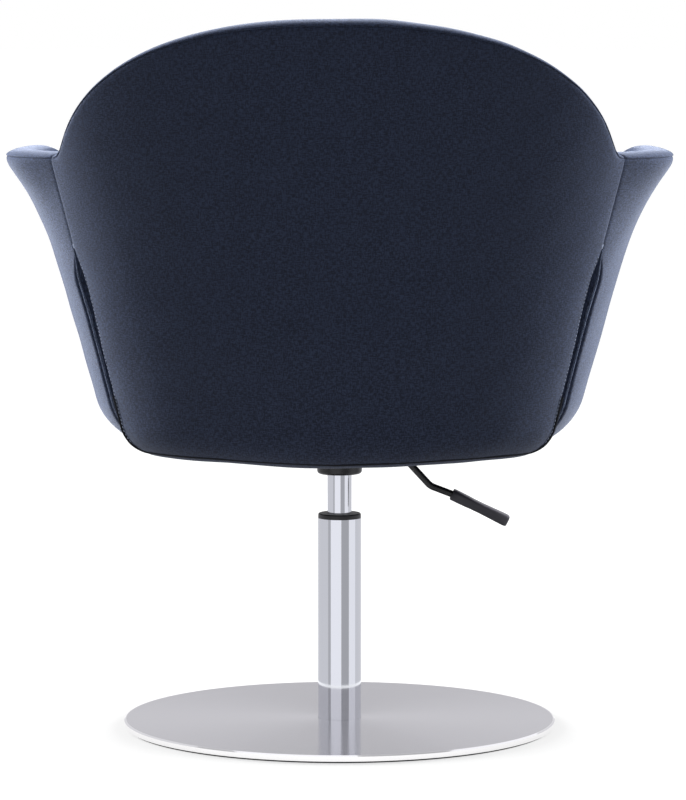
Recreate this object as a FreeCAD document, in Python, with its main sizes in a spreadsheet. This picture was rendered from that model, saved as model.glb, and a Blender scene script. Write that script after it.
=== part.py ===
import FreeCAD, Part
import os
from math import atan2, cos, degrees, pi, radians, sin, sqrt, tan

import Sketcher

# Pedestal swivel armchair: a disc base, a gas spring in a chromed column, and a bucket
# seat that swivels and rises. Millimetres, +Z up, origin on the floor on the swivel axis.
# The sitter faces -Y, the back is at +Y, and the height lever is on the -X side.

vector = FreeCAD.Vector
UP = vector(0, 0, 1)

# How many steps the smooth outlines are worked out with.
BACK_SLICES = 34
ARM_SLICES = 20
LIP_SLICES = 14
PLAN_POINTS = 48
WALL_STEPS = 7
HALVINGS = 40

SIZES = [
    ("base_diameter", 500), ("cover_sheet", 1.2), ("cover_bevel", 1.5), ("cover_lift", 0.3),
    ("pad_thickness", 2), ("pad_inset", 4), ("weight_thickness", 6), ("weight_gap", 0.3),
    ("foot_screw_diameter", 6), ("foot_screw_head", 10), ("foot_screw_head_height", 3.5),
    ("foot_screw_circle", 34), ("foot_screw_count", 4),
    ("column_diameter", 50), ("column_wall", 1.5), ("column_length", 234.6), ("column_gap", 0.3),
    ("plug_thickness", 12), ("plug_raise", 6), ("fit_gap", 0.05),
    ("collar_height", 5.6), ("collar_sink", 0.2), ("bush_length", 80), ("running_gap", 0.04),
    ("cylinder_diameter", 28), ("cylinder_wall", 1.6), ("cylinder_shown", 45.8),
    ("taper_length", 50), ("taper_top_diameter", 26.2),
    ("shown_lift", 25), ("height_stroke", 100),
    ("rod_diameter", 10), ("rod_tail", 4), ("clip_diameter", 18), ("clip_thickness", 1.5),
    ("thrust_diameter", 30), ("washer_thickness", 1.5), ("ball_diameter", 3),
    ("ball_count", 12), ("ball_circle", 22),
    ("stop_diameter", 24), ("stop_length", 12), ("gland_length", 16), ("piston_length", 12),
    ("valve_length", 28), ("pin_diameter", 5), ("pin_length", 24), ("pin_play", 0.5),
    ("flange_diameter", 52), ("flange_height", 10), ("flange_corner", 4),
    ("socket_diameter", 38), ("socket_above_plate", 26), ("hub_below_plate", 31.3),
    ("plate_length", 190), ("plate_width", 150), ("plate_thickness", 3), ("plate_corner", 14),
    ("bolt_diameter", 8), ("bolt_head", 13), ("bolt_head_height", 5),
    ("washer_diameter", 18), ("bolt_washer", 1.5), ("bolt_span_x", 160), ("bolt_span_y", 120),
    ("nut_diameter", 11), ("nut_flange", 22), ("nut_flange_thickness", 1.5),
    ("housing_length", 96), ("housing_width", 56), ("housing_height", 44), ("housing_wall", 2.5),
    ("slot_width", 16), ("slot_near", 50), ("slot_far", 88),
    ("pivot_offset", 22), ("pivot_drop", 11), ("pivot_pin_diameter", 5), ("eye_width", 16),
    ("lever_diameter", 8), ("lever_shoulder", 30), ("eye_diameter", 12),
    ("lever_bend_reach", 105), ("lever_bend_drop", 81.5), ("lever_bend_radius", 18),
    ("grip_start_reach", 130), ("grip_start_drop", 91), ("grip_length", 72),
    ("grip_slope", 26), ("grip_height", 13), ("grip_width", 26), ("grip_corner", 5),
    ("board_thickness", 15), ("board_gap", 0.4), ("cut_margin", 5), ("cut_reach", 90),
    ("panel_thickness", 4.5), ("panel_front", 195), ("panel_corner", 60),
    ("panel_edge_radius", 36), ("opening_margin", 6),
    ("soft_gap", 0.3),
    ("waist_height", 401), ("waist_half_width", 285.5), ("side_lean", 15.7),
    ("waist_back_depth", 226), ("back_lean", 10.7), ("waist_front_depth", 306),
    ("front_lean", 6), ("front_power", 2.6), ("corner_radius", 56),
    ("dome_centre", 631), ("dome_rise", 181.8), ("dome_half_width", 312), ("dome_power", 2.42),
    ("dome_tail", 8),
    ("arm_height", 661), ("arm_corner", 18), ("arm_fall_start", 106), ("arm_fall_end", 154),
    ("lip_height", 403), ("flare", 24.5), ("flare_start", 520), ("flare_power", 2.3),
    ("flare_spread", 20), ("flare_fade", 60),
    ("seam_angle", 68), ("lip_angle", 150), ("wall_thickness", 46), ("rim_crown", 8),
    ("tongue_thickness", 8), ("tongue_raise", 5), ("slit_top", 565), ("slit_full", 440),
    ("piping_diameter", 4), ("piping_end", 40), ("floor_block", 24),
    ("frame_rod", 12), ("ring_inset", 12), ("hoop_angle", 50),
    ("hoop_bend", 30), ("hoop_step_out", 38), ("hoop_step_up", 36), ("hoop_below_rim", 60),
    ("clamp_width", 22),
    ("clamp_thickness", 2.5), ("clamp_foot", 16),
    ("foam_height", 35), ("cushion_height", 66), ("cushion_gap", 3),
    ("cushion_round", 22),
]

doc = FreeCAD.newDocument("swivel_armchair")
sheet = doc.addObject("Spreadsheet::Sheet", "Sizes")
for row, (alias, amount) in enumerate(SIZES, start=1):
    sheet.set("A%d" % row, str(amount))
    sheet.setAlias("A%d" % row, alias)
doc.recompute()

# Heights that follow from the sizes, as expressions on the sheet.
PAD_TOP = "Sizes.pad_thickness"
WEIGHT_TOP = "(%s + Sizes.weight_thickness)" % PAD_TOP
COVER_TOP = "(%s + Sizes.cover_sheet)" % WEIGHT_TOP
COLUMN_TOP = "(%s + Sizes.column_length)" % WEIGHT_TOP
COLLAR_TOP = "(%s + Sizes.collar_height)" % COLUMN_TOP
PLUG_BOTTOM = "(%s + Sizes.plug_raise)" % WEIGHT_TOP
PLUG_TOP = "(%s + Sizes.plug_thickness)" % PLUG_BOTTOM
THRUST_TOP = "(%s + 2 * Sizes.washer_thickness + Sizes.ball_diameter)" % PLUG_TOP
STOP_TOP = "(%s + Sizes.stop_length)" % THRUST_TOP
CYLINDER_BOTTOM = "(%s + Sizes.shown_lift + Sizes.fit_gap)" % STOP_TOP
GLAND_TOP = "(%s + Sizes.gland_length)" % CYLINDER_BOTTOM
PISTON_BOTTOM = "(%s + Sizes.height_stroke - Sizes.shown_lift + Sizes.fit_gap)" % GLAND_TOP
HUB_BOTTOM = "(%s + Sizes.cylinder_shown)" % COLLAR_TOP
PLATE_TOP = "(%s + Sizes.hub_below_plate + Sizes.plate_thickness)" % HUB_BOTTOM
PLATE_BOTTOM = "(%s + Sizes.hub_below_plate)" % HUB_BOTTOM
SOCKET_TOP = "(%s + Sizes.socket_above_plate)" % PLATE_TOP
TAPER_BOTTOM = "(%s - Sizes.taper_length)" % SOCKET_TOP
BOARD_TOP = "(%s + Sizes.board_thickness)" % PLATE_TOP
HOUSING_TOP = "(%s + Sizes.housing_height)" % PLATE_TOP
PIVOT_HEIGHT = "(%s - Sizes.pivot_drop)" % HOUSING_TOP
PIN_TOP = "(%s - Sizes.lever_diameter / 2 - Sizes.pin_play)" % PIVOT_HEIGHT

parts = []


def number(expression):
    return float(sheet.evalExpression(expression))


def size(alias):
    return float(getattr(sheet, alias))


def keep(item, label):
    """Name an object as one sub-part of the chair."""
    item.Label = label
    parts.append(item)
    return item


def feature(label, shape, placement=FreeCAD.Placement()):
    """A sub-part whose shape comes from Part functions."""
    item = doc.addObject("Part::Feature", label)
    item.Shape = shape
    item.Placement = placement
    return keep(item, label)


def origin_plane(body, role):
    return [item for item in body.Origin.OriginFeatures if item.Role == role][0]


def outline_sketch(body, name, role, corners):
    """A closed outline whose corners are bound to the sheet; "0" keeps a corner on its axis."""
    sketch = body.newObject("Sketcher::SketchObject", name)
    sketch.AttachmentSupport = [(origin_plane(body, role), "")]
    sketch.MapMode = "FlatFace"
    places = [vector(number(across), number(along), 0) for across, along in corners]
    count = len(places)
    for index in range(count):
        sketch.addGeometry(Part.LineSegment(places[index], places[(index + 1) % count]))
    for index in range(count):
        sketch.addConstraint(Sketcher.Constraint("Coincident", index, 2, (index + 1) % count, 1))
    for index, (across, along) in enumerate(corners):
        bind_point(sketch, index, 1, "DistanceX", across, places[index].x, -2)
        bind_point(sketch, index, 1, "DistanceY", along, places[index].y, -1)
    return sketch


def bind_point(sketch, geometry, point, kind, expression, amount, axis):
    if expression == "0":
        sketch.addConstraint(Sketcher.Constraint("PointOnObject", geometry, point, axis))
        return
    place = sketch.addConstraint(Sketcher.Constraint(kind, -1, 1, geometry, point, amount))
    sketch.setExpression("Constraints[%d]" % place, expression)


def circle_sketch(body, name, role, circles):
    """Circles given as (across, along, radius), each bound to the sheet."""
    sketch = body.newObject("Sketcher::SketchObject", name)
    sketch.AttachmentSupport = [(origin_plane(body, role), "")]
    sketch.MapMode = "FlatFace"
    for index, (across, along, radius) in enumerate(circles):
        middle = vector(number(across), number(along), 0)
        sketch.addGeometry(Part.Circle(middle, UP, number(radius)))
        bind_point(sketch, index, 3, "DistanceX", across, middle.x, -2)
        bind_point(sketch, index, 3, "DistanceY", along, middle.y, -1)
        place = sketch.addConstraint(Sketcher.Constraint("Radius", index, number(radius)))
        sketch.setExpression("Constraints[%d]" % place, radius)
    return sketch


def turned(label, corners):
    """A piece turned about the swivel axis from its half section of (radius, height)."""
    body = doc.addObject("PartDesign::Body", label)
    sketch = outline_sketch(body, label + "_section", "XZ_Plane", corners)
    turn = body.newObject("PartDesign::Revolution", label + "_turn")
    turn.Profile = sketch
    turn.ReferenceAxis = (sketch, ["V_Axis"])
    turn.Angle = 360
    body.Tip = turn
    return keep(body, label)


def sleeve_corners(inner, outer, low, high):
    return [(inner, low), (outer, low), (outer, high), (inner, high)]


def pocket_through(body, sketch, name):
    """Cut a sketch out of the whole body, both ways from its plane."""
    doc.recompute()
    before = body.Shape.Volume
    cut = body.newObject("PartDesign::Pocket", name)
    cut.Profile = sketch
    cut.Type = 1
    cut.Midplane = True
    body.Tip = cut
    doc.recompute()
    if not body.Shape.Volume < before:
        raise RuntimeError(name + " cut nothing")
    return cut


def group_of(label, shape, places):
    """Identical fasteners share one sub-part as separate solids."""
    copies = []
    for place in places:
        copy = shape.copy()
        copy.translate(place)
        copies.append(copy)
    return feature(label, Part.makeCompound(copies))


def stepped_pin(steps):
    """A pin or screw built upwards from (radius, low, high) steps."""
    solids = [Part.makeCylinder(radius, high - low, vector(0, 0, low)) for radius, low, high in steps]
    return solids[0].multiFuse(solids[1:]).removeSplitter() if len(solids) > 1 else solids[0]


# The base stands still: pad, weight, bright cover, column and its guide.

def base_pad():
    turned("base_pad", [("0", "0"), ("Sizes.base_diameter / 2 - Sizes.pad_inset", "0"),
                        ("Sizes.base_diameter / 2 - Sizes.pad_inset", PAD_TOP), ("0", PAD_TOP)])


def foot_screw_places():
    count = int(round(size("foot_screw_count")))
    reach = size("foot_screw_circle") / 2
    return [vector(reach * cos(2 * pi * k / count), reach * sin(2 * pi * k / count), 0)
            for k in range(count)]


def base_weight():
    edge = "Sizes.base_diameter / 2 - Sizes.cover_sheet - Sizes.weight_gap"
    body = turned("base_weight", [("0", PAD_TOP), (edge, PAD_TOP), (edge, WEIGHT_TOP),
                                  ("0", WEIGHT_TOP)])
    shank = "Sizes.foot_screw_diameter / 2 + Sizes.soft_gap"
    head = "Sizes.foot_screw_head / 2 + Sizes.soft_gap"
    reach = "Sizes.foot_screw_circle / 2"
    for name, radius, depth in (("shank_hole", shank, WEIGHT_TOP),
                                ("head_hole", head, PAD_TOP + " + Sizes.foot_screw_head_height")):
        sketch = circle_sketch(body, name + "_place", "XY_Plane", [(reach, "0", radius)])
        doc.recompute()
        before = body.Shape.Volume
        cut = body.newObject("PartDesign::Pocket", name)
        cut.Profile = sketch
        cut.Reversed = True
        cut.setExpression("Length", depth)
        body.Tip = cut
        doc.recompute()
        if not body.Shape.Volume < before:
            raise RuntimeError(name + " cut nothing")
        ring = body.newObject("PartDesign::PolarPattern", name + "_ring")
        ring.Originals = [cut]
        ring.Axis = (sketch, ["N_Axis"])
        ring.Angle = 360
        ring.setExpression("Occurrences", "Sizes.foot_screw_count")
        body.Tip = ring


def base_cover():
    outer = "Sizes.base_diameter / 2"
    inner = "Sizes.base_diameter / 2 - Sizes.cover_sheet"
    hole = "Sizes.column_diameter / 2 + Sizes.column_gap"
    skirt = "(%s + Sizes.cover_lift)" % PAD_TOP
    turned("base_cover", [(hole, WEIGHT_TOP), (inner, WEIGHT_TOP), (inner, skirt), (outer, skirt),
                          (outer, COVER_TOP + " - Sizes.cover_bevel"),
                          (outer + " - Sizes.cover_bevel", COVER_TOP), (hole, COVER_TOP)])


def foot_screws():
    head_top = size("pad_thickness") + size("foot_screw_head_height")
    screw = stepped_pin([(size("foot_screw_head") / 2, size("pad_thickness"), head_top),
                         (size("foot_screw_diameter") / 2, head_top,
                          number(PLUG_TOP) - size("washer_thickness"))])
    group_of("foot_screws", screw, foot_screw_places())


def column_tube():
    outer = "Sizes.column_diameter / 2"
    turned("column_tube", sleeve_corners(outer + " - Sizes.column_wall", outer, WEIGHT_TOP,
                                         COLUMN_TOP))


def end_plug():
    body = turned("column_end_plug", sleeve_corners(
        "Sizes.rod_diameter / 2 + Sizes.running_gap",
        "Sizes.column_diameter / 2 - Sizes.column_wall - Sizes.fit_gap", PLUG_BOTTOM, PLUG_TOP))
    radius = "Sizes.foot_screw_diameter / 2 + Sizes.fit_gap"
    sketch = circle_sketch(body, "plug_thread_place", "XY_Plane",
                           [("Sizes.foot_screw_circle / 2", "0", radius)])
    cut = pocket_through(body, sketch, "plug_thread")
    ring = body.newObject("PartDesign::PolarPattern", "plug_thread_ring")
    ring.Originals = [cut]
    ring.Axis = (sketch, ["N_Axis"])
    ring.Angle = 360
    ring.setExpression("Occurrences", "Sizes.foot_screw_count")
    body.Tip = ring


def guide_bush():
    turned("guide_bush", sleeve_corners(
        "Sizes.cylinder_diameter / 2 + Sizes.running_gap",
        "Sizes.column_diameter / 2 - Sizes.column_wall - Sizes.fit_gap",
        COLUMN_TOP + " - Sizes.bush_length", COLUMN_TOP))


def column_collar():
    outer = "Sizes.column_diameter / 2 - Sizes.collar_sink"
    turned("column_collar", [
        ("Sizes.cylinder_diameter / 2 + 2 * Sizes.running_gap", COLUMN_TOP), (outer, COLUMN_TOP),
        (outer, COLLAR_TOP + " - Sizes.cover_sheet"),
        (outer + " - Sizes.cover_sheet", COLLAR_TOP),
        ("Sizes.cylinder_diameter / 2 + 2 * Sizes.running_gap", COLLAR_TOP)])


# The piston rod turns in the column on a small ball thrust bearing.

def rod_clip():
    top = "(%s - Sizes.soft_gap)" % PLUG_BOTTOM
    turned("rod_clip", sleeve_corners("Sizes.rod_diameter / 2 + Sizes.fit_gap",
                                      "Sizes.clip_diameter / 2",
                                      top + " - Sizes.clip_thickness", top))


def thrust_washers():
    for label, low in (("thrust_washer_lower", PLUG_TOP),
                       ("thrust_washer_upper",
                        PLUG_TOP + " + Sizes.washer_thickness + Sizes.ball_diameter")):
        turned(label, sleeve_corners("Sizes.rod_diameter / 2 + Sizes.running_gap",
                                     "Sizes.thrust_diameter / 2", low,
                                     low + " + Sizes.washer_thickness"))


def ball_places():
    count = int(round(size("ball_count")))
    reach = size("ball_circle") / 2
    height = number(PLUG_TOP) + size("washer_thickness") + size("ball_diameter") / 2
    return [vector(reach * cos(2 * pi * k / count), reach * sin(2 * pi * k / count), height)
            for k in range(count)]


def thrust_balls():
    ball = Part.makeSphere(size("ball_diameter") / 2)
    group_of("thrust_balls", ball, ball_places())


def ball_cage():
    thickness = size("ball_diameter") / 2
    low = number(PLUG_TOP) + size("washer_thickness") + size("ball_diameter") / 4
    ring = Part.makeCylinder(size("thrust_diameter") / 2, thickness, vector(0, 0, low))
    bore = Part.makeCylinder(size("rod_diameter") / 2 + size("soft_gap"), thickness,
                             vector(0, 0, low))
    pocket = Part.makeCylinder(size("ball_diameter") / 2 + size("fit_gap"), thickness)
    for place in ball_places():
        hole = pocket.copy()
        hole.translate(vector(place.x, place.y, low))
        bore = bore.fuse(hole)
    feature("ball_cage", ring.cut(bore))


def piston_rod():
    rod = "Sizes.rod_diameter / 2"
    shoulder = rod + " + Sizes.washer_thickness"
    turned("piston_rod", [("0", PLUG_BOTTOM + " - Sizes.rod_tail"),
                          (rod, PLUG_BOTTOM + " - Sizes.rod_tail"), (rod, THRUST_TOP),
                          (shoulder, THRUST_TOP),
                          (shoulder, THRUST_TOP + " + Sizes.washer_thickness"),
                          (rod, THRUST_TOP + " + Sizes.washer_thickness"),
                          (rod, PISTON_BOTTOM + " + Sizes.piston_length"),
                          ("0", PISTON_BOTTOM + " + Sizes.piston_length")])


def bump_stop():
    low = THRUST_TOP + " + Sizes.washer_thickness"
    turned("bump_stop", sleeve_corners("Sizes.rod_diameter / 2 + Sizes.fit_gap",
                                       "Sizes.stop_diameter / 2", low, STOP_TOP))


def piston():
    turned("piston", sleeve_corners(
        "Sizes.rod_diameter / 2 + Sizes.fit_gap",
        "Sizes.cylinder_diameter / 2 - Sizes.cylinder_wall - Sizes.running_gap",
        PISTON_BOTTOM, PISTON_BOTTOM + " + Sizes.piston_length"))


# The gas cylinder carries the seat and slides over the rod.

def gas_cylinder():
    outer = "Sizes.cylinder_diameter / 2"
    inner = outer + " - Sizes.cylinder_wall"
    top = "Sizes.taper_top_diameter / 2"
    turned("gas_cylinder", [(inner, CYLINDER_BOTTOM), (outer, CYLINDER_BOTTOM),
                            (outer, TAPER_BOTTOM), (top, SOCKET_TOP),
                            (top + " - Sizes.cylinder_wall", SOCKET_TOP), (inner, TAPER_BOTTOM)])


def cylinder_gland():
    turned("cylinder_gland", sleeve_corners(
        "Sizes.rod_diameter / 2 + Sizes.running_gap",
        "Sizes.cylinder_diameter / 2 - Sizes.cylinder_wall - Sizes.fit_gap",
        CYLINDER_BOTTOM, GLAND_TOP))


def valve_body():
    outer = "Sizes.taper_top_diameter / 2 - Sizes.cylinder_wall - Sizes.fit_gap"
    turned("valve_body", sleeve_corners("Sizes.pin_diameter / 2 + Sizes.running_gap", outer,
                                        SOCKET_TOP + " - Sizes.valve_length", SOCKET_TOP))


def valve_pin():
    radius = "Sizes.pin_diameter / 2"
    low = PIN_TOP + " - Sizes.pin_length"
    turned("valve_pin", [("0", low), (radius, low), (radius, PIN_TOP), ("0", PIN_TOP)])


# The seat mechanism: taper hub, plate, housing over the valve, and its fasteners.

def mechanism_hub():
    low_bore = "Sizes.cylinder_diameter / 2 + Sizes.fit_gap"
    top_bore = "Sizes.taper_top_diameter / 2 + Sizes.fit_gap"
    flange = "Sizes.flange_diameter / 2"
    neck = "Sizes.socket_diameter / 2"
    corner = "Sizes.flange_corner"
    body = turned("mechanism_hub", [
        (low_bore, HUB_BOTTOM), (flange, HUB_BOTTOM), (flange, HUB_BOTTOM + " + Sizes.flange_height"),
        (neck, HUB_BOTTOM + " + Sizes.flange_height"), (neck, SOCKET_TOP), (top_bore, SOCKET_TOP),
        (low_bore, TAPER_BOTTOM)])
    doc.recompute()
    turn = body.Tip
    rim = [index for index, edge in enumerate(turn.Shape.Edges, start=1)
           if isinstance(edge.Curve, Part.Circle)
           and abs(edge.Curve.Center.z - number(HUB_BOTTOM)) < 0.001
           and abs(edge.Curve.Radius - number(flange)) < 0.001]
    fillet = body.newObject("PartDesign::Fillet", "flange_round")
    fillet.Base = (turn, ["Edge%d" % rim[0]])
    fillet.setExpression("Radius", corner)
    body.Tip = fillet


def bolt_places():
    reach_x = size("bolt_span_x") / 2
    reach_y = size("bolt_span_y") / 2
    return [vector(x, y, 0) for x in (-reach_x, reach_x) for y in (-reach_y, reach_y)]


def mechanism_plate():
    body = doc.addObject("PartDesign::Body", "mechanism_plate")
    half_x = "Sizes.plate_length / 2"
    half_y = "Sizes.plate_width / 2"
    sketch = outline_sketch(body, "plate_outline", "XY_Plane",
                            [("-" + half_x, "-" + half_y), (half_x, "-" + half_y),
                             (half_x, half_y), ("-" + half_x, half_y)])
    sketch.setExpression("AttachmentOffset.Base.z", PLATE_BOTTOM)
    pad = body.newObject("PartDesign::Pad", "plate_pad")
    pad.Profile = sketch
    pad.setExpression("Length", "Sizes.plate_thickness")
    body.Tip = pad
    doc.recompute()
    uprights = ["Edge%d" % index for index, edge in enumerate(body.Shape.Edges, start=1)
                if edge.BoundBox.XLength < 0.001 and edge.BoundBox.YLength < 0.001]
    fillet = body.newObject("PartDesign::Fillet", "plate_corners")
    fillet.Base = (pad, uprights)
    fillet.setExpression("Radius", "Sizes.plate_corner")
    body.Tip = fillet
    holes = [(sign_x + "Sizes.bolt_span_x / 2", sign_y + "Sizes.bolt_span_y / 2",
              "Sizes.bolt_diameter / 2 + Sizes.soft_gap")
             for sign_x in ("", "-") for sign_y in ("", "-")]
    holes.append(("0", "0", "Sizes.socket_diameter / 2 + Sizes.fit_gap"))
    pocket_through(body, circle_sketch(body, "plate_holes", "XY_Plane", holes), "plate_drilling")
    slot = outline_sketch(body, "lever_slot_outline", "XY_Plane",
                          [("-Sizes.slot_far", "-Sizes.slot_width / 2"),
                           ("-Sizes.slot_near", "-Sizes.slot_width / 2"),
                           ("-Sizes.slot_near", "Sizes.slot_width / 2"),
                           ("-Sizes.slot_far", "Sizes.slot_width / 2")])
    pocket_through(body, slot, "lever_slot")
    keep(body, "mechanism_plate")


def box_between(low, high):
    """A box from its lowest to its highest corner."""
    return Part.makeBox(high.x - low.x, high.y - low.y, high.z - low.z, low)


def mechanism_housing():
    half_x, half_y = size("housing_length") / 2, size("housing_width") / 2
    wall = size("housing_wall")
    low, high = number(PLATE_TOP), number(HOUSING_TOP)
    shell = box_between(vector(-half_x, -half_y, low), vector(half_x, half_y, high))
    inside = box_between(vector(wall - half_x, wall - half_y, low),
                         vector(half_x - wall, half_y - wall, high - wall))
    half_slot = size("slot_width") / 2
    slot = box_between(vector(-half_x - wall, -half_slot, low),
                       vector(wall - half_x, half_slot, number(PIVOT_HEIGHT) + half_slot))
    pin_hole = Part.makeCylinder(size("pivot_pin_diameter") / 2 + size("running_gap"), 2 * half_y,
                                 vector(-size("pivot_offset"), -half_y, number(PIVOT_HEIGHT)),
                                 vector(0, 1, 0))
    feature("mechanism_housing", shell.cut(inside).cut(slot).cut(pin_hole))


def pivot_pin():
    pin = doc.addObject("Part::Cylinder", "pivot_pin")
    pin.setExpression("Radius", "Sizes.pivot_pin_diameter / 2")
    pin.setExpression("Height", "Sizes.housing_width")
    pin.Placement = FreeCAD.Placement(vector(), FreeCAD.Rotation(vector(1, 0, 0), -90))
    pin.setExpression("Placement.Base.x", "-Sizes.pivot_offset")
    pin.setExpression("Placement.Base.y", "-Sizes.housing_width / 2")
    pin.setExpression("Placement.Base.z", PIVOT_HEIGHT)
    keep(pin, "pivot_pin")


def seat_fasteners():
    under = number(PLATE_BOTTOM)
    washer_low = under - size("bolt_washer")
    tip = number(BOARD_TOP) - size("bolt_washer")
    bolt = stepped_pin([(size("bolt_head") / 2, washer_low - size("bolt_head_height"), washer_low),
                        (size("bolt_diameter") / 2, washer_low, tip)])
    group_of("mechanism_bolts", bolt, bolt_places())
    hole = Part.makeCylinder(size("bolt_diameter") / 2 + size("soft_gap"), size("bolt_washer"),
                             vector(0, 0, washer_low))
    washer = Part.makeCylinder(size("washer_diameter") / 2, size("bolt_washer"),
                               vector(0, 0, washer_low)).cut(hole)
    group_of("bolt_washers", washer, bolt_places())
    top = number(BOARD_TOP)
    nut = stepped_pin([(size("nut_diameter") / 2, number(PLATE_TOP) + size("soft_gap"), top),
                       (size("nut_flange") / 2, top, top + size("nut_flange_thickness"))])
    bore = Part.makeCylinder(size("bolt_diameter") / 2 + size("fit_gap"), 2 * top)
    group_of("board_nuts", nut.cut(bore), bolt_places())


# The height lever: a bent rod with an eye on the pivot pin, and a moulded grip.

def lever_points():
    pivot = number(PIVOT_HEIGHT)
    start = vector(0, 0, pivot)
    shoulder = vector(-size("lever_shoulder"), 0, pivot)
    eye = vector(-size("pivot_offset"), 0, pivot)
    bend = vector(-size("lever_bend_reach"), 0, pivot - size("lever_bend_drop"))
    grip = vector(-size("grip_start_reach"), 0, pivot - size("grip_start_drop"))
    return start, eye, shoulder, bend, grip


def grip_direction():
    slope = radians(size("grip_slope"))
    return vector(-cos(slope), 0, -sin(slope))


def rounded_wire(points, radius):
    """Straight runs joined by tangent arcs, for a bent rod or tube."""
    edges = []
    previous = points[0]
    for before, corner, after in zip(points, points[1:], points[2:]):
        into = (corner - before).normalize()
        out = (after - corner).normalize()
        turn = into.getAngle(out)
        setback = radius * tan(turn / 2)
        first, last = corner - into * setback, corner + out * setback
        middle_way = (out - into).normalize()
        middle = corner + middle_way * (radius / cos(turn / 2) - radius)
        edges.append(Part.LineSegment(previous, first).toShape())
        edges.append(Part.Arc(first, middle, last).toShape())
        previous = last
    edges.append(Part.LineSegment(previous, points[-1]).toShape())
    return Part.Wire(edges)


def swept_rod(path, radius):
    start = path.Vertexes[0].Point
    direction = path.Edges[0].tangentAt(path.Edges[0].FirstParameter)
    profile = Part.Wire(Part.makeCircle(radius, start, direction))
    return path.makePipeShell([profile], True, False)


def lever_rod():
    start, eye, shoulder, bend, grip = lever_points()
    inside_grip = grip + grip_direction() * (size("grip_length") / 2)
    path = rounded_wire([start, shoulder, bend, grip, inside_grip], size("lever_bend_radius"))
    rod = swept_rod(path, size("lever_diameter") / 2)
    half = size("eye_width") / 2
    boss = Part.makeCylinder(size("eye_diameter") / 2, 2 * half,
                             vector(eye.x, -half, eye.z), vector(0, 1, 0))
    bore = Part.makeCylinder(size("pivot_pin_diameter") / 2 + size("running_gap"), 2 * half,
                             vector(eye.x, -half, eye.z), vector(0, 1, 0))
    feature("lever_rod", rod.fuse(boss).cut(bore))


def lever_grip():
    grip = lever_points()[4]
    along = grip_direction()
    length, tall, wide = size("grip_length"), size("grip_height"), size("grip_width")
    block = Part.makeBox(length, wide, tall, vector(0, -wide / 2, -tall / 2))
    block = block.makeFillet(min(size("grip_corner"), tall / 2.1), block.Edges)
    bore = Part.makeCylinder(size("lever_diameter") / 2 + size("fit_gap"), length / 2,
                             vector(0, 0, 0), vector(1, 0, 0))
    feature("lever_grip", block.cut(bore),
            FreeCAD.Placement(grip, FreeCAD.Rotation(vector(1, 0, 0), along)))


# The bucket: every level is an oval that leans out as it rises, deeper and squarer in
# front than behind. Angles are taken round the swivel axis, 0 at the back and 180 in front.

def from_back(angle):
    """The angle away from the back, 0 to 180, on either side."""
    return min(abs(angle), 360 - abs(angle))


def wall_radius(angle, height):
    """Distance from the axis to the outside of the bucket, before its lower corner."""
    above = height - size("waist_height")
    half_width = size("waist_half_width") + above * tan(radians(size("side_lean")))
    if from_back(angle) <= 90:
        depth = size("waist_back_depth") + above * tan(radians(size("back_lean")))
        power = 2
    else:
        depth = size("waist_front_depth") + above * tan(radians(size("front_lean")))
        power = size("front_power")
    turn = radians(angle)
    across = abs(sin(turn)) / half_width
    along = abs(cos(turn)) / depth
    return (across ** power + along ** power) ** (-1 / power)


def spread(first, last, count):
    return [first + (last - first) * k / count for k in range(count + 1)]


def smooth_step(amount):
    amount = min(max(amount, 0), 1)
    return amount * amount * (3 - 2 * amount)


def flare_at(angle, height):
    """How far the top of an arm turns out past the straight lean of the side."""
    if height <= size("flare_start"):
        return 0
    rise = (height - size("flare_start")) / (size("arm_height") - size("flare_start"))
    turn = from_back(angle)
    share = smooth_step((turn - size("seam_angle")) / size("flare_spread"))
    share *= 1 - smooth_step((turn - size("arm_fall_start")) / size("flare_fade"))
    return size("flare") * share * rise ** size("flare_power")


def dome_height(angle):
    """Height of the top seam of the back, a rounded arch seen from behind."""
    low, high = size("dome_centre"), size("dome_centre") + size("dome_rise")
    turn = min(from_back(angle), size("seam_angle"))
    past_seam = from_back(angle) - turn
    for _ in range(HALVINGS):
        middle = (low + high) / 2
        across = wall_radius(turn, middle) * sin(radians(turn))
        share = (middle - size("dome_centre")) / size("dome_rise")
        arch = size("dome_half_width") * (1 - share ** size("dome_power")) ** (
            1 / size("dome_power"))
        if across < arch:
            low = middle
        else:
            high = middle
    return (low + high) / 2 - past_seam * size("dome_tail")


def arm_line(angle):
    fall = smooth_step((from_back(angle) - size("arm_fall_start"))
                       / (size("arm_fall_end") - size("arm_fall_start")))
    return size("arm_height") - fall * (size("arm_height") - size("lip_height"))


def rim_height(angle):
    dome, arm = dome_height(angle), arm_line(angle)
    return (dome + arm + sqrt((dome - arm) ** 2 + size("arm_corner") ** 2)) / 2


def shell_bottom():
    return number(PLATE_TOP)


def outer_point(angle, height, inward, bottom, corner):
    """A point of the bucket's outside, moved inwards and rounded into its underside."""
    radius = wall_radius(angle, height) + flare_at(angle, height) - inward
    if height < bottom + corner:
        drop = min((bottom + corner - height) / corner, 1)
        radius -= corner * (1 - sqrt(1 - drop * drop))
    return radius


def flat_radius(angle):
    """Where the outside of the shells meets their flat underside."""
    return outer_point(angle, shell_bottom(), 0, shell_bottom(), size("corner_radius"))


def placed(angle, radius, height):
    turn = radians(angle)
    return vector(radius * sin(turn), radius * cos(turn), height)


def curve_through(points):
    curve = Part.BSplineCurve()
    curve.interpolate(points)
    return curve.toShape()


def outer_heights(bottom, corner, top):
    """Heights close together round the lower corner and further apart up the wall."""
    lower = [bottom + corner * (1 - cos(radians(step))) for step in (0, 22.5, 45, 67.5)]
    start = bottom + corner
    return lower + spread(start, top, WALL_STEPS)


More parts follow.
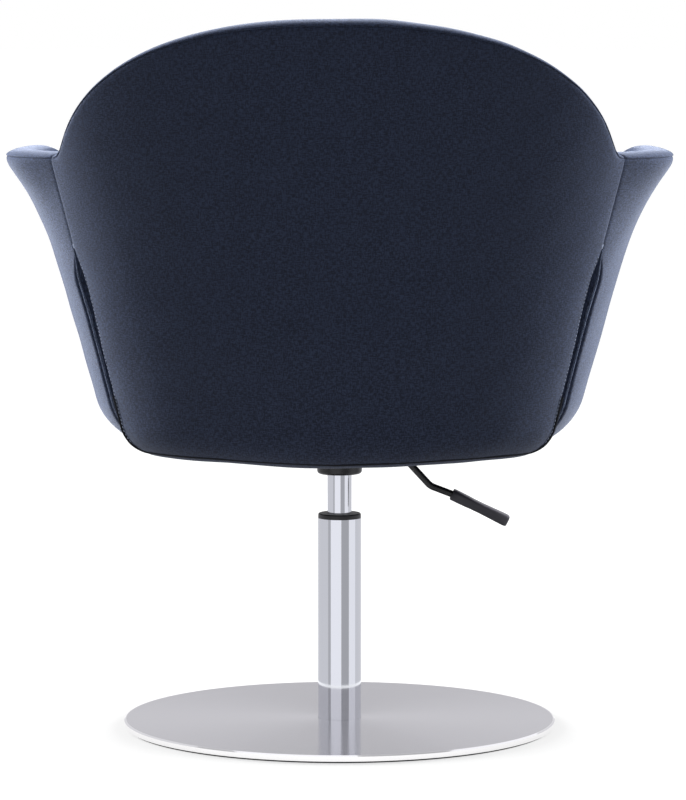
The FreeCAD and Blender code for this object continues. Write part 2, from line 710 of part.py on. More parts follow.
def outer_curve(angle, inward, bottom, corner, top):
    return [placed(angle, outer_point(angle, height, inward, bottom, corner), height)
            for height in outer_heights(bottom, corner, top)]


def rim_curve(angle, top):
    """The crowned top edge, from the outer seam over to the inside."""
    thickness = size("wall_thickness")
    outside = outer_point(angle, top, 0, shell_bottom(), size("corner_radius"))
    middle = outside - thickness / 2
    points = []
    for step in (0, 20, 50, 90, 130, 160, 180):
        turn = radians(step)
        points.append(placed(angle, middle + thickness / 2 * cos(turn),
                             top + size("rim_crown") * sin(turn)))
    points[0] = placed(angle, outside, top)
    points[-1] = placed(angle, outside - thickness, top)
    return points


def inner_curve(angle, top):
    floor = shell_bottom() + size("floor_block")
    thickness = size("wall_thickness")
    points = []
    for height in spread(top, floor, WALL_STEPS + 1)[:-1]:
        points.append(placed(angle, outer_point(angle, height, thickness, shell_bottom(),
                                                size("corner_radius")), height))
    points.append(placed(angle, flat_radius(angle), floor))
    return points


def wall_section(angle, recess):
    """One upright slice of the shell wall; a recess leaves room for the back panel."""
    top = rim_height(angle)
    bottom, corner = shell_bottom(), size("corner_radius")
    outer = outer_curve(angle, recess, bottom, corner, top)
    rim = rim_curve(angle, top)
    inner = inner_curve(angle, top)
    outer[0] = placed(angle, flat_radius(angle), bottom)
    edges = [curve_through(outer)]
    if recess:
        edges.append(Part.LineSegment(outer[-1], rim[0]).toShape())
    edges.append(curve_through(rim))
    edges.append(curve_through(inner))
    edges.append(Part.LineSegment(inner[-1], outer[0]).toShape())
    return Part.Wire(edges)


def lofted(sections):
    solid = Part.makeLoft(sections, True, False, False)
    if solid.Volume < 0:
        solid.reverse()
    return solid


def seam_offset():
    """The angle that leaves the soft gap between two shells."""
    return degrees(size("soft_gap") / wall_radius(size("seam_angle"), shell_bottom()))


def closed_plan(reach_at, height):
    """A smooth level loop round the axis at the distance that reach_at gives for each angle."""
    points = [placed(angle, reach_at(angle), height)
              for angle in spread(-180, 180, PLAN_POINTS)[:-1]]
    curve = Part.BSplineCurve()
    curve.interpolate(Points=points, PeriodicFlag=True)
    return Part.Wire(curve.toShape())


def hoop_path():
    """The steel hoop that rises from the seat ring and arches through the back."""
    ring = number(BOARD_TOP) + size("frame_rod") / 2
    turn = size("hoop_angle")
    inside = (size("wall_thickness") + size("tongue_thickness")) / 2
    half_path = [placed(turn, ring_reach(turn), ring + size("frame_rod")),
                 placed(turn, flat_radius(turn) + size("hoop_step_out"),
                        ring + size("hoop_step_up"))]
    for share in (1, 0.6, 0.2):
        angle = turn * share
        height = rim_height(angle) - size("hoop_below_rim")
        half_path.append(placed(angle, wall_radius(angle, height) - inside, height))
    mirrored = [vector(-point.x, point.y, point.z) for point in reversed(half_path)]
    return rounded_wire(half_path + mirrored, size("hoop_bend"))


def ring_reach(angle):
    return flat_radius(angle) - size("ring_inset")


def ring_point(angle):
    return placed(angle, ring_reach(angle), number(BOARD_TOP) + size("frame_rod") / 2)


def ring_path():
    return closed_plan(ring_reach, number(BOARD_TOP) + size("frame_rod") / 2)


def channel(path, clearance):
    return swept_rod(path, size("frame_rod") / 2 + clearance)


def frame():
    feature("seat_frame_ring", channel(ring_path(), 0))
    feature("back_frame_hoop", channel(hoop_path(), 0))


def ring_clamps():
    """Bent straps that hold the frame ring down on the seat board."""
    half = size("frame_rod") / 2
    thickness = size("clamp_thickness")
    low = number(BOARD_TOP)
    straps = []
    for angle in (45, 135, 225, 315):
        width, foot = size("clamp_width"), size("clamp_foot")
        saddle = Part.makeCylinder(half + thickness, width, vector(0, -width / 2, 0),
                                   vector(0, 1, 0))
        saddle = saddle.fuse(box_between(vector(-half - foot, -width / 2, -half),
                                         vector(0, width / 2, thickness - half)))
        room = Part.makeCylinder(half + 2 * size("soft_gap"), 2 * width, vector(0, -width, 0),
                                 vector(0, 1, 0))
        below = box_between(vector(-half - size("soft_gap"), -width, -2 * half),
                            vector(2 * half, width, 0))
        strap = saddle.cut(room).cut(below)
        strap.translate(vector(0, 0, low + half))
        along = ring_point(angle - 1) - ring_point(angle + 1)
        strap.rotate(vector(), UP, degrees(atan2(-along.x, along.y)))
        strap.translate(placed(angle, ring_reach(angle), 0))
        straps.append(strap)
    return straps


def shell_parts():
    gap = seam_offset()
    seam, front = size("seam_angle"), size("lip_angle")
    hoop = channel(hoop_path(), size("soft_gap"))
    back = lofted([wall_section(angle, size("tongue_thickness"))
                   for angle in spread(gap - seam, seam - gap, BACK_SLICES)])
    feature("back_shell", back.cut(hoop))
    arms = lofted([wall_section(angle, 0) for angle in spread(seam, front, ARM_SLICES)])
    feature("arm_shell_right", arms)
    feature("arm_shell_left", arms.mirror(vector(), vector(1, 0, 0)))
    lip = lofted([wall_section(angle, 0)
                  for angle in spread(front + gap, 360 - front - gap, LIP_SLICES)])
    feature("front_lip_shell", lip)


def raise_at(height):
    """How far the back panel stands proud of the sides: full at the foot, none above the slit."""
    share = (size("slit_top") - height) / (size("slit_top") - size("slit_full"))
    return size("tongue_raise") * smooth_step(share)


def panel_section(angle):
    """One upright slice of the outer back panel."""
    top = rim_height(angle) - size("soft_gap")
    gap = size("soft_gap")
    inner_bottom = shell_bottom() - gap
    corner = size("corner_radius")
    inner = outer_curve(angle, size("tongue_thickness") - gap, inner_bottom, corner, top)
    outer_bottom = inner_bottom - size("panel_thickness") + gap
    outer_corner = size("panel_edge_radius")
    outer = []
    for height in outer_heights(outer_bottom, outer_corner, top):
        radius = outer_point(angle, height, 0, outer_bottom, outer_corner) + raise_at(height)
        outer.append(placed(angle, radius, height))
    start = placed(angle, flat_radius(angle), outer_bottom)
    inner[0] = placed(angle, flat_radius(angle), inner_bottom)
    edges = [Part.LineSegment(start, outer[0]).toShape(), curve_through(outer),
             Part.LineSegment(outer[-1], inner[-1]).toShape(),
             curve_through(list(reversed(inner))), Part.LineSegment(inner[0], start).toShape()]
    return Part.Wire(edges)


def back_panel():
    gap = seam_offset()
    seam = size("seam_angle")
    feature("outer_back_panel", lofted([panel_section(angle)
                                        for angle in spread(gap - seam, seam - gap, BACK_SLICES)]))


def bucket_plan(inset, height):
    """A flat face inside the foot of the bucket."""
    return Part.Face(closed_plan(lambda angle: flat_radius(angle) - inset, height))


def mechanism_cut(low, high):
    """The opening over the mechanism housing and the lever."""
    margin = size("cut_margin")
    return box_between(vector(-size("cut_reach"), -size("housing_width") / 2 - margin, low),
                       vector(size("housing_length") / 2 + margin,
                              size("housing_width") / 2 + margin, high))


def seat_board():
    low, high = number(PLATE_TOP), number(BOARD_TOP)
    board = bucket_plan(size("board_gap"), low).extrude(vector(0, 0, high - low))
    board = board.cut(mechanism_cut(low, high))
    for place in bolt_places():
        hole = Part.makeCylinder(size("nut_diameter") / 2 + size("fit_gap"), high - low,
                                 vector(place.x, place.y, low))
        board = board.cut(hole)
    feature("seat_board", board)


def underside_panel():
    gap = size("soft_gap")
    high = shell_bottom() - gap
    low = high - size("panel_thickness") + gap
    seam = size("seam_angle")
    rear = [placed(angle, flat_radius(angle) - gap, low) for angle in spread(-seam, seam, 16)]
    edge = rear[-1].x
    front = -size("panel_front")
    corner = size("panel_corner")
    diagonal = corner * (1 - sqrt(0.5))
    edges = [curve_through(rear),
             Part.LineSegment(rear[-1], vector(edge, front + corner, low)).toShape(),
             Part.Arc(vector(edge, front + corner, low),
                      vector(edge - diagonal, front + diagonal, low),
                      vector(edge - corner, front, low)).toShape(),
             Part.LineSegment(vector(edge - corner, front, low),
                              vector(corner - edge, front, low)).toShape(),
             Part.Arc(vector(corner - edge, front, low),
                      vector(diagonal - edge, front + diagonal, low),
                      vector(-edge, front + corner, low)).toShape(),
             Part.LineSegment(vector(-edge, front + corner, low), rear[0]).toShape()]
    panel = Part.Face(Part.Wire(edges)).extrude(vector(0, 0, high - low))
    margin = size("opening_margin")
    half_x, half_y = size("plate_length") / 2 + margin, size("plate_width") / 2 + margin
    opening = box_between(vector(-half_x, -half_y, low), vector(half_x, half_y, high))
    uprights = [edge for edge in opening.Edges if edge.BoundBox.ZLength > high - low - 0.001]
    opening = opening.makeFillet(size("plate_corner"), uprights)
    feature("underside_panel", panel.cut(opening))


def piping():
    """Round welts that close the two edges of the back panel below its seams."""
    radius = size("piping_diameter") / 2
    seam = size("seam_angle")
    lift = radius + 2 * size("soft_gap")
    bottom, corner = shell_bottom() - lift, size("corner_radius") + lift
    clearance = degrees(lift / wall_radius(seam, shell_bottom()))
    points = []
    for height in outer_heights(bottom, corner, size("slit_top") - size("piping_end"))[2:]:
        reach = outer_point(seam + clearance, height, -lift, bottom, corner)
        points.append(placed(seam + clearance, reach, height))
    welt = swept_rod(Part.Wire(curve_through(points)), radius)
    feature("piping_right", welt)
    feature("piping_left", welt.mirror(vector(), vector(1, 0, 0)))


def seat_foam():
    low = number(BOARD_TOP)
    high = low + size("foam_height")
    inset = size("ring_inset") + size("frame_rod") / 2 + 2 * size("soft_gap")
    foam = bucket_plan(inset, low).extrude(vector(0, 0, high - low))
    room = size("cut_margin")
    foam = foam.cut(mechanism_cut(low, number(HOUSING_TOP) + room / 2))
    for place in bolt_places():
        foam = foam.cut(Part.makeCylinder(size("nut_flange") / 2 + room / 2, room,
                                          vector(place.x, place.y, low)))
    return foam


def foam_and_clamps():
    straps = ring_clamps()
    foam = seat_foam()
    room = size("soft_gap")
    for strap in straps:
        box = strap.BoundBox
        foam = foam.cut(box_between(vector(box.XMin - room, box.YMin - room, box.ZMin),
                                    vector(box.XMax + room, box.YMax + room, box.ZMax + room)))
    feature("seat_foam", foam)
    feature("ring_clamps", Part.makeCompound(straps))


def cushion_section(height, inset):
    level = min(height, size("lip_height"))

    def reach(angle):
        inside = outer_point(angle, level, size("wall_thickness"), shell_bottom(),
                             size("corner_radius"))
        return inside - size("cushion_gap") - inset

    return closed_plan(reach, height)


def seat_cushion():
    low = number(BOARD_TOP) + size("foam_height") + size("soft_gap")
    high = low + size("cushion_height")
    edge = size("cushion_round")
    feature("seat_cushion", lofted([
        cushion_section(low, edge / 2), cushion_section(low + edge / 2, 0),
        cushion_section(high - edge, 0), cushion_section(high - edge / 3, edge / 3),
        cushion_section(high, edge)]))


def build():
    base_pad()
    base_weight()
    base_cover()
    foot_screws()
    column_tube()
    end_plug()
    guide_bush()
    column_collar()
    rod_clip()
    thrust_washers()
    thrust_balls()
    ball_cage()
    piston_rod()
    bump_stop()
    piston()
    gas_cylinder()
    cylinder_gland()
    valve_body()
    valve_pin()
    mechanism_hub()
    mechanism_plate()
    mechanism_housing()
    pivot_pin()
    seat_fasteners()
    lever_rod()
    lever_grip()
    frame()
    foam_and_clamps()
    shell_parts()
    back_panel()
    piping()
    seat_board()
    underside_panel()
    seat_cushion()
    doc.recompute()


def check_and_write():
    for item in doc.Objects:
        if "Invalid" in item.State or "Error" in item.State:
            raise RuntimeError("%s failed: %s" % (item.Label, item.State))
    faulty = [item.Label for item in parts
              if item.Shape.isNull() or not item.Shape.isValid() or not item.Shape.Solids]
    if faulty:
        raise RuntimeError("no valid solid in " + ", ".join(faulty))
    os.makedirs("parts", exist_ok=True)
    for item in parts:
        item.Shape.exportStep("parts/%s.step" % item.Label)
        box = item.Shape.BoundBox
        print("%-20s solids %2d  volume %11.1f  z %7.2f to %7.2f" % (
            item.Label, len(item.Shape.Solids), item.Shape.Volume, box.ZMin, box.ZMax))


build()
check_and_write()
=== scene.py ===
import math

import bpy
import numpy as np
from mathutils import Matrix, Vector
from mathutils.bvhtree import BVHTree


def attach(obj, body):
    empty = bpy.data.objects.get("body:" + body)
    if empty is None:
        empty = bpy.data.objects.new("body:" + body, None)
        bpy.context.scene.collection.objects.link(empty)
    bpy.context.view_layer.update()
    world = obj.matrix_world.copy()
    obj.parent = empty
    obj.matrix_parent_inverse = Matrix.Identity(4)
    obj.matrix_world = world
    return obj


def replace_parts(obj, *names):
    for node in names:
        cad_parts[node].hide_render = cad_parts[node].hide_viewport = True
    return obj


# Pedestal swivel armchair: the looks around the fixed frame. The bucket is worked out in
# millimetres with the same formulas as the part's source, and placed in metres.

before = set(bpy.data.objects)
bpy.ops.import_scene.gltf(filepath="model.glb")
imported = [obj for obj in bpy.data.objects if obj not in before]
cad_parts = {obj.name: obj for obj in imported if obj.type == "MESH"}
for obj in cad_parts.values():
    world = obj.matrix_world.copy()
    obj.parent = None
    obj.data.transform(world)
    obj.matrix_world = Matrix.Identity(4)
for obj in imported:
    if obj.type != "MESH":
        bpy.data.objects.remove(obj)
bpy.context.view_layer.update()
scene = bpy.context.scene
MM = 0.001

# The bucket's own sizes, in millimetres and degrees.
SHELL_BOTTOM, SHELL_CORNER = 328.3, 56.0
PANEL_BOTTOM, PANEL_CORNER = 323.8, 36.0
PANEL_RAISE, SLIT_TOP, SLIT_FULL = 5.0, 565.0, 440.0
SEAM, LIP, WALL, CROWN = 68.0, 150.0, 46.0, 8.0
RIM_HALF = 56.0
# The seams lean: a little further round at the top than the slice they start from. The
# back panel is cut narrower where the slit is open, and its lower edge sags at the middle.
SEAM_TOP, TUCK = 69.4, 6.0
PANEL_SAG, SEAM_GAP, STITCH_LINE = 3.6, 0.3, 3.6


# Shape of the bucket

def smooth(amount):
    amount = np.clip(amount, 0, 1)
    return amount * amount * (3 - 2 * amount)


def from_back(angle):
    angle = np.abs(angle) % 360
    return np.minimum(angle, 360 - angle)


def wall_radius(angle, height):
    above = height - 401
    half_width = 285.5 + above * math.tan(math.radians(15.7))
    behind = from_back(angle) <= 90
    depth = np.where(behind, 226 + above * math.tan(math.radians(10.7)),
                     306 + above * math.tan(math.radians(6)))
    power = np.where(behind, 2.0, 2.6)
    turn = np.radians(angle)
    across, along = np.abs(np.sin(turn)) / half_width, np.abs(np.cos(turn)) / depth
    return (across ** power + along ** power) ** (-1 / power)


def flare_at(angle, height):
    rise = np.maximum(height - 520, 0) / (661 - 520)
    turn = from_back(angle)
    share = smooth((turn - SEAM) / 20) * (1 - smooth((turn - 106) / 60))
    return share * (24.5 * rise ** 2.3 + 5.5 * rise ** 5)


def dome_height(angle):
    turn = np.minimum(from_back(angle), SEAM)
    low = np.full(np.shape(turn), 631.0)
    high = np.full(np.shape(turn), 812.8)
    for _ in range(40):
        middle = (low + high) / 2
        across = wall_radius(turn, middle) * np.sin(np.radians(turn))
        arch = 312 * (1 - ((middle - 631) / 181.8) ** 2.42) ** (1 / 2.42)
        under = across < arch
        low, high = np.where(under, middle, low), np.where(under, high, middle)
    return (low + high) / 2 - (from_back(angle) - turn) * 8


def rim_height(angle):
    dome = dome_height(angle)
    arm = 661 - smooth((from_back(angle) - 106) / 48) * 258
    return (dome + arm + np.sqrt((dome - arm) ** 2 + 18 ** 2)) / 2


def roll_at(angle):
    """How far the top edge of an arm rolls in, in mm."""
    turn = from_back(angle)
    return 6 * smooth((turn - 70) / 14) * (1 - smooth((turn - 120) / 30))


def placed(angle, radius, height):
    turn = np.radians(angle)
    return np.stack([radius * np.sin(turn), radius * np.cos(turn),
                     height + 0 * radius], axis=-1)


def raise_at(height):
    return PANEL_RAISE * smooth((SLIT_TOP - height) / (SLIT_TOP - SLIT_FULL))


def lower_edge(panel):
    """Height and corner radius of the lower edge, of the panel or of the bucket's shell."""
    return (PANEL_BOTTOM, PANEL_CORNER) if panel else (SHELL_BOTTOM, SHELL_CORNER)


def corner_turn(run, corner):
    """How far round the lower corner a place is, from 0 underneath to a quarter turn."""
    return np.clip(1 + run / (corner * math.pi / 2), 0, 1) * math.pi / 2


def height_of(run, panel=False):
    bottom, corner = lower_edge(panel)
    round_corner = bottom + corner * (1 - np.cos(corner_turn(run, corner)))
    return np.where(run < 0, round_corner, bottom + corner + run)


def shell_point(angle, run, panel=False):
    """Outside of the bucket. run is the way up from the end of the lower corner, in mm:
    below zero it goes round the corner, and further in under the seat."""
    _, corner = lower_edge(panel)
    height = height_of(run, panel)
    radius = wall_radius(angle, height) + flare_at(angle, height)
    radius = radius - corner * (1 - np.sin(corner_turn(run, corner)))
    radius = radius - np.maximum(-corner * math.pi / 2 - run, 0)
    near_top = np.clip(1 - (rim_height(angle) - height) / 15, 0, 1)
    radius = radius - roll_at(angle) * near_top ** 2
    if panel:
        radius = radius + raise_at(height)
    return placed(angle, radius, height)


def panel_point(angle, run):
    return shell_point(angle, run, True)


def panel_sag(angle, height):
    """How far the lower edge of the back panel hangs down, in mm."""
    low = 1 - smooth((height - PANEL_BOTTOM) / 60)
    return PANEL_SAG * low * np.clip(1 - np.abs(angle) / 38, 0, 1)


def rim_point(angle, run):
    """Over the top edge from its outer seam, run mm along, and down the inside."""
    top = rim_height(angle)
    turn = np.clip(run / RIM_HALF, 0, 1) * math.pi
    height = top + CROWN * np.sin(turn) - np.maximum(run - RIM_HALF, 0)
    level = np.minimum(height, top)
    drop = np.clip((SHELL_BOTTOM + SHELL_CORNER - level) / SHELL_CORNER, 0, 1)
    radius = wall_radius(angle, level) + flare_at(angle, level) - WALL / 2 * (1 - np.cos(turn))
    radius = radius - SHELL_CORNER * (1 - np.sqrt(1 - drop * drop))
    radius = radius - roll_at(angle) * np.clip(1 - run / RIM_HALF, 0, 1)
    return placed(angle, radius, height)


def normals_of(function, angle, run):
    across = function(angle + 0.05, run) - function(angle - 0.05, run)
    along = function(angle, run + 0.2) - function(angle, run - 0.2)
    normal = np.cross(along, across)
    return normal / np.maximum(np.linalg.norm(normal, axis=-1, keepdims=True), 1e-9)


def ripple(points, amount):
    """Slow unevenness of stuffed cloth, the same on every run."""
    total = 0
    for index, length in enumerate((150.0, 96.0, 61.0)):
        turn = 1.7 * index + 0.6
        way = np.array([math.cos(turn), math.sin(turn) * 0.6, math.sin(turn * 1.3)])
        total = total + np.sin(points @ way * (2 * math.pi / length) + 2.1 * index)
    return amount * total / 3


def steps(first, last, near):
    """Places from first to last, close together at the ends and about near mm apart between."""
    close = [0, 0.5, 1.1, 2, 3.2, 5, 8, 12]
    count = max(int((last - first - 24) / near), 2)
    middle = np.linspace(first + 12, last - 12, count)[1:-1]
    return np.concatenate([first + np.array(close), middle, last - np.array(close[::-1])])


# Mesh helpers

def grid_mesh(name, points, material, u=None, v=None, body="seat", slot="navy_cloth"):
    """A piece of cloth from a grid of points in mm, with its texture places in metres."""
    points = points * MM
    rows, columns = points.shape[:2]
    if u is None:
        step = np.linalg.norm(np.diff(points, axis=1), axis=-1)
        u = np.concatenate([np.zeros((rows, 1)), np.cumsum(step, axis=1)], axis=1)
        u = u - u[:, [columns // 2]]
    if v is None:
        step = np.linalg.norm(np.diff(points, axis=0), axis=-1)
        v = np.concatenate([np.zeros((1, columns)), np.cumsum(step, axis=0)], axis=0)
    index = np.arange(rows * columns).reshape(rows, columns)
    faces = np.stack([index[:-1, :-1], index[:-1, 1:], index[1:, 1:], index[1:, :-1]],
                     axis=-1).reshape(-1, 4)
    mesh = bpy.data.meshes.new(name)
    mesh.from_pydata(points.reshape(-1, 3).tolist(), [], faces.tolist())
    layer = mesh.uv_layers.new(name="cloth")
    places = np.stack([u.reshape(-1), v.reshape(-1)], axis=-1)[faces.reshape(-1)]
    layer.data.foreach_set("uv", places.reshape(-1).astype(np.float32))
    mesh.polygons.foreach_set("use_smooth", [True] * len(faces))
    mesh.materials.append(material)
    mesh.update()
    piece = bpy.data.objects.new(name, mesh)
    scene.collection.objects.link(piece)
    if body:
        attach(piece, body)
    return piece


def tube_mesh(name, path, radius, material, sides=12, **where):
    """A round cord along a path in mm."""
    along = np.gradient(path, axis=0)
    along /= np.linalg.norm(along, axis=1, keepdims=True)
    first = np.cross(along, [0.0, 0.0, 1.0])
    first /= np.maximum(np.linalg.norm(first, axis=1, keepdims=True), 1e-9)
    second = np.cross(along, first)
    turn = np.linspace(0, 2 * math.pi, sides + 1)
    reach = np.asarray(radius).reshape(-1, 1, 1)
    ring = (np.cos(turn)[None, :, None] * first[:, None, :]
            + np.sin(turn)[None, :, None] * second[:, None, :])
    return grid_mesh(name, path[:, None, :] + reach * ring, material, **where)


def stitch_mesh(name, places, ways, lifts, length, radius, material):
    """Short threads, one for each place, lying along ways."""
    points, faces = [], []
    sides, rings = 6, [(-0.5, 0.35), (-0.36, 0.9), (0.0, 1.0), (0.36, 0.9), (0.5, 0.35)]
    for place, way, lift in zip(places, ways, lifts):
        side = np.cross(way, lift)
        start = len(points)
        for share, wide in rings:
            sink = -0.35 * radius * (abs(share) * 2) ** 2
            for k in range(sides):
                turn = 2 * math.pi * k / sides
                points.append(place + way * length * share + lift * sink
                              + radius * wide * (side * math.cos(turn) + lift * math.sin(turn)))
        for ring in range(len(rings) - 1):
            for k in range(sides):
                a, b = start + ring * sides + k, start + ring * sides + (k + 1) % sides
                faces.append((a, b, b + sides, a + sides))
        faces.append(tuple(start + k for k in reversed(range(sides))))
        faces.append(tuple(start + (len(rings) - 1) * sides + k for k in range(sides)))
    mesh = bpy.data.meshes.new(name)
    mesh.from_pydata((np.array(points) * MM).tolist(), [], faces)
    mesh.polygons.foreach_set("use_smooth", [True] * len(faces))
    mesh.materials.append(material)
    piece = bpy.data.objects.new(name, mesh)
    scene.collection.objects.link(piece)
    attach(piece, "seat")
    return piece


# Finishes

def srgb(red, green, blue):
    def linear(value):
        value /= 255
        return value / 12.92 if value <= 0.04045 else ((value + 0.055) / 1.055) ** 2.4
    return (linear(red), linear(green), linear(blue), 1.0)


def new_material(name, colour, rough, metal=0.0, **settings):
    material = bpy.data.materials.new(name)
    material.use_nodes = True
    shader = material.node_tree.nodes["Principled BSDF"]
    shader.inputs["Base Color"].default_value = colour
    shader.inputs["Roughness"].default_value = rough
    shader.inputs["Metallic"].default_value = metal
    for key, value in settings.items():
        shader.inputs[key.replace("_", " ")].default_value = value
    return material, material.node_tree, shader


def cloth_group():
    """Heather cloth: threads of several tones, with a fine relief. Places are in metres."""
    group = bpy.data.node_groups.new("heather_cloth", "ShaderNodeTree")
    for label, kind in (("Dark", "NodeSocketColor"), ("Light", "NodeSocketColor"),
                        ("Relief", "NodeSocketFloat")):
        group.interface.new_socket(label, in_out="INPUT", socket_type=kind)
    for label, kind in (("Base Color", "NodeSocketColor"), ("Roughness", "NodeSocketFloat"),
                        ("Normal", "NodeSocketVector")):
        group.interface.new_socket(label, in_out="OUTPUT", socket_type=kind)
    nodes, links = group.nodes, group.links
    inside, outside = nodes.new("NodeGroupInput"), nodes.new("NodeGroupOutput")
    place = nodes.new("ShaderNodeUVMap")
    place.uv_map = "cloth"

    def noise(across, along, detail, rough):
        stretch = nodes.new("ShaderNodeMapping")
        stretch.inputs["Scale"].default_value = (across, along, 1)
        links.new(place.outputs["UV"], stretch.inputs["Vector"])
        made = nodes.new("ShaderNodeTexNoise")
        made.noise_dimensions = "2D"
        made.inputs["Scale"].default_value = 1
        made.inputs["Detail"].default_value = detail
        made.inputs["Roughness"].default_value = rough
        links.new(stretch.outputs["Vector"], made.inputs["Vector"])
        return made.outputs["Fac"]

    def math_node(operation, first, second, clamp=False):
        made = nodes.new("ShaderNodeMath")
        made.operation = operation
        made.use_clamp = clamp
        for socket, value in zip(made.inputs, (first, second)):
            if isinstance(value, (int, float)):
                socket.default_value = value
            else:
                links.new(value, socket)
        return made.outputs[0]

    weft = noise(170, 720, 3, 0.75)
    warp = noise(720, 200, 3, 0.75)
    cloudy = noise(34, 34, 3, 0.6)
    threads = math_node("ADD", math_node("MULTIPLY", weft, 0.5),
                        math_node("MULTIPLY", warp, 0.5))
    sharp = math_node("MULTIPLY", math_node("SUBTRACT", threads, 0.5), 6.5)
    tone = math_node("ADD", math_node("ADD", sharp, 0.42),
                     math_node("MULTIPLY", math_node("SUBTRACT", cloudy, 0.5), 0.35), True)
    mix = nodes.new("ShaderNodeMix")
    mix.data_type = "RGBA"
    links.new(tone, mix.inputs["Factor"])
    links.new(inside.outputs["Dark"], mix.inputs["A"])
    links.new(inside.outputs["Light"], mix.inputs["B"])
    links.new(mix.outputs["Result"], outside.inputs["Base Color"])
    rough = math_node("ADD", math_node("MULTIPLY", warp, 0.2), 0.7)
    links.new(rough, outside.inputs["Roughness"])
    bump = nodes.new("ShaderNodeBump")
    bump.inputs["Distance"].default_value = 0.0006
    links.new(inside.outputs["Relief"], bump.inputs["Strength"])
    links.new(threads, bump.inputs["Height"])
    links.new(bump.outputs["Normal"], outside.inputs["Normal"])
    return group


def cloth_material(name, dark, light, relief, sheen):
    material, tree, shader = new_material(name, dark, 0.85, Sheen_Weight=sheen,
                                          Sheen_Roughness=0.45,
                                          Sheen_Tint=srgb(205, 214, 236),
                                          Specular_IOR_Level=0.25)
    node = tree.nodes.new("ShaderNodeGroup")
    node.node_tree = CLOTH
    node.inputs["Dark"].default_value = dark
    node.inputs["Light"].default_value = light
    node.inputs["Relief"].default_value = relief
    for label in ("Base Color", "Roughness", "Normal"):
        tree.links.new(node.outputs[label], shader.inputs[label])
    return material


def grain_group():
    """Small unevenness of moulded, cast or painted faces, in object places."""
    group = bpy.data.node_groups.new("fine_grain", "ShaderNodeTree")
    for label in ("Scale", "Relief", "Roughness Low", "Roughness High"):
        group.interface.new_socket(label, in_out="INPUT", socket_type="NodeSocketFloat")
    group.interface.new_socket("Roughness", in_out="OUTPUT", socket_type="NodeSocketFloat")
    group.interface.new_socket("Normal", in_out="OUTPUT", socket_type="NodeSocketVector")
    nodes, links = group.nodes, group.links
    inside, outside = nodes.new("NodeGroupInput"), nodes.new("NodeGroupOutput")
    place = nodes.new("ShaderNodeTexCoord")
    noise = nodes.new("ShaderNodeTexNoise")
    noise.inputs["Detail"].default_value = 3
    links.new(place.outputs["Object"], noise.inputs["Vector"])
    links.new(inside.outputs["Scale"], noise.inputs["Scale"])
    spread = nodes.new("ShaderNodeMapRange")
    links.new(noise.outputs["Fac"], spread.inputs["Value"])
    links.new(inside.outputs["Roughness Low"], spread.inputs["To Min"])
    links.new(inside.outputs["Roughness High"], spread.inputs["To Max"])
    links.new(spread.outputs["Result"], outside.inputs["Roughness"])
    bump = nodes.new("ShaderNodeBump")
    bump.inputs["Distance"].default_value = 0.0004
    links.new(inside.outputs["Relief"], bump.inputs["Strength"])
    links.new(noise.outputs["Fac"], bump.inputs["Height"])
    links.new(bump.outputs["Normal"], outside.inputs["Normal"])
    return group


def grained(name, colour, low, high, scale, relief, metal=0.0, **settings):
    material, tree, shader = new_material(name, colour, (low + high) / 2, metal, **settings)
    node = tree.nodes.new("ShaderNodeGroup")
    node.node_tree = GRAIN
    for label, value in (("Scale", scale), ("Relief", relief), ("Roughness Low", low),
                         ("Roughness High", high)):
        node.inputs[label].default_value = value
    tree.links.new(node.outputs["Roughness"], shader.inputs["Roughness"])
    tree.links.new(node.outputs["Normal"], shader.inputs["Normal"])
    return material


def brushed_material():
    """Stainless sheet brushed in circles round the column, with a polished edge: smoother there,
    and its colour raised near white as a painted highlight.
    """
    polish_and_highlight_from = 0.2476
    material, tree, shader = new_material("brushed_disc", srgb(214, 212, 216), 0.2, 1.0,
                                          Anisotropic=0.85, Anisotropic_Rotation=0.25)
    nodes, links = tree.nodes, tree.links
    place = nodes.new("ShaderNodeTexCoord")
    split = nodes.new("ShaderNodeSeparateXYZ")
    links.new(place.outputs["Object"], split.inputs["Vector"])
    flat = nodes.new("ShaderNodeCombineXYZ")
    links.new(split.outputs["X"], flat.inputs["X"])
    links.new(split.outputs["Y"], flat.inputs["Y"])
    reach = nodes.new("ShaderNodeVectorMath")
    reach.operation = "LENGTH"
    links.new(flat.outputs["Vector"], reach.inputs[0])
    rings = nodes.new("ShaderNodeTexNoise")
    rings.noise_dimensions = "1D"
    rings.inputs["Scale"].default_value = 900
    rings.inputs["Detail"].default_value = 4
    rings.inputs["Roughness"].default_value = 0.7
    links.new(reach.outputs["Value"], rings.inputs["W"])
    spread = nodes.new("ShaderNodeMapRange")
    spread.inputs["To Min"].default_value = 0.13
    spread.inputs["To Max"].default_value = 0.27
    links.new(rings.outputs["Fac"], spread.inputs["Value"])
    rim = nodes.new("ShaderNodeMath")
    rim.operation = "GREATER_THAN"
    rim.inputs[1].default_value = polish_and_highlight_from
    links.new(reach.outputs["Value"], rim.inputs[0])
    # The edge's colour, near white: a painted highlight along the polished rim.
    tone = nodes.new("ShaderNodeMix")
    tone.data_type = "RGBA"
    tone.inputs["A"].default_value = srgb(212, 210, 214)
    tone.inputs["B"].default_value = srgb(252, 251, 252)
    links.new(rim.outputs[0], tone.inputs["Factor"])
    links.new(tone.outputs["Result"], shader.inputs["Base Color"])
    polish = nodes.new("ShaderNodeMix")
    polish.inputs["B"].default_value = 0.07
    links.new(rim.outputs[0], polish.inputs["Factor"])
    links.new(spread.outputs["Result"], polish.inputs["A"])
    links.new(polish.outputs["Result"], shader.inputs["Roughness"])
    tangent = nodes.new("ShaderNodeTangent")
    tangent.direction_type = "RADIAL"
    tangent.axis = "Z"
    links.new(tangent.outputs["Tangent"], shader.inputs["Tangent"])
    return material


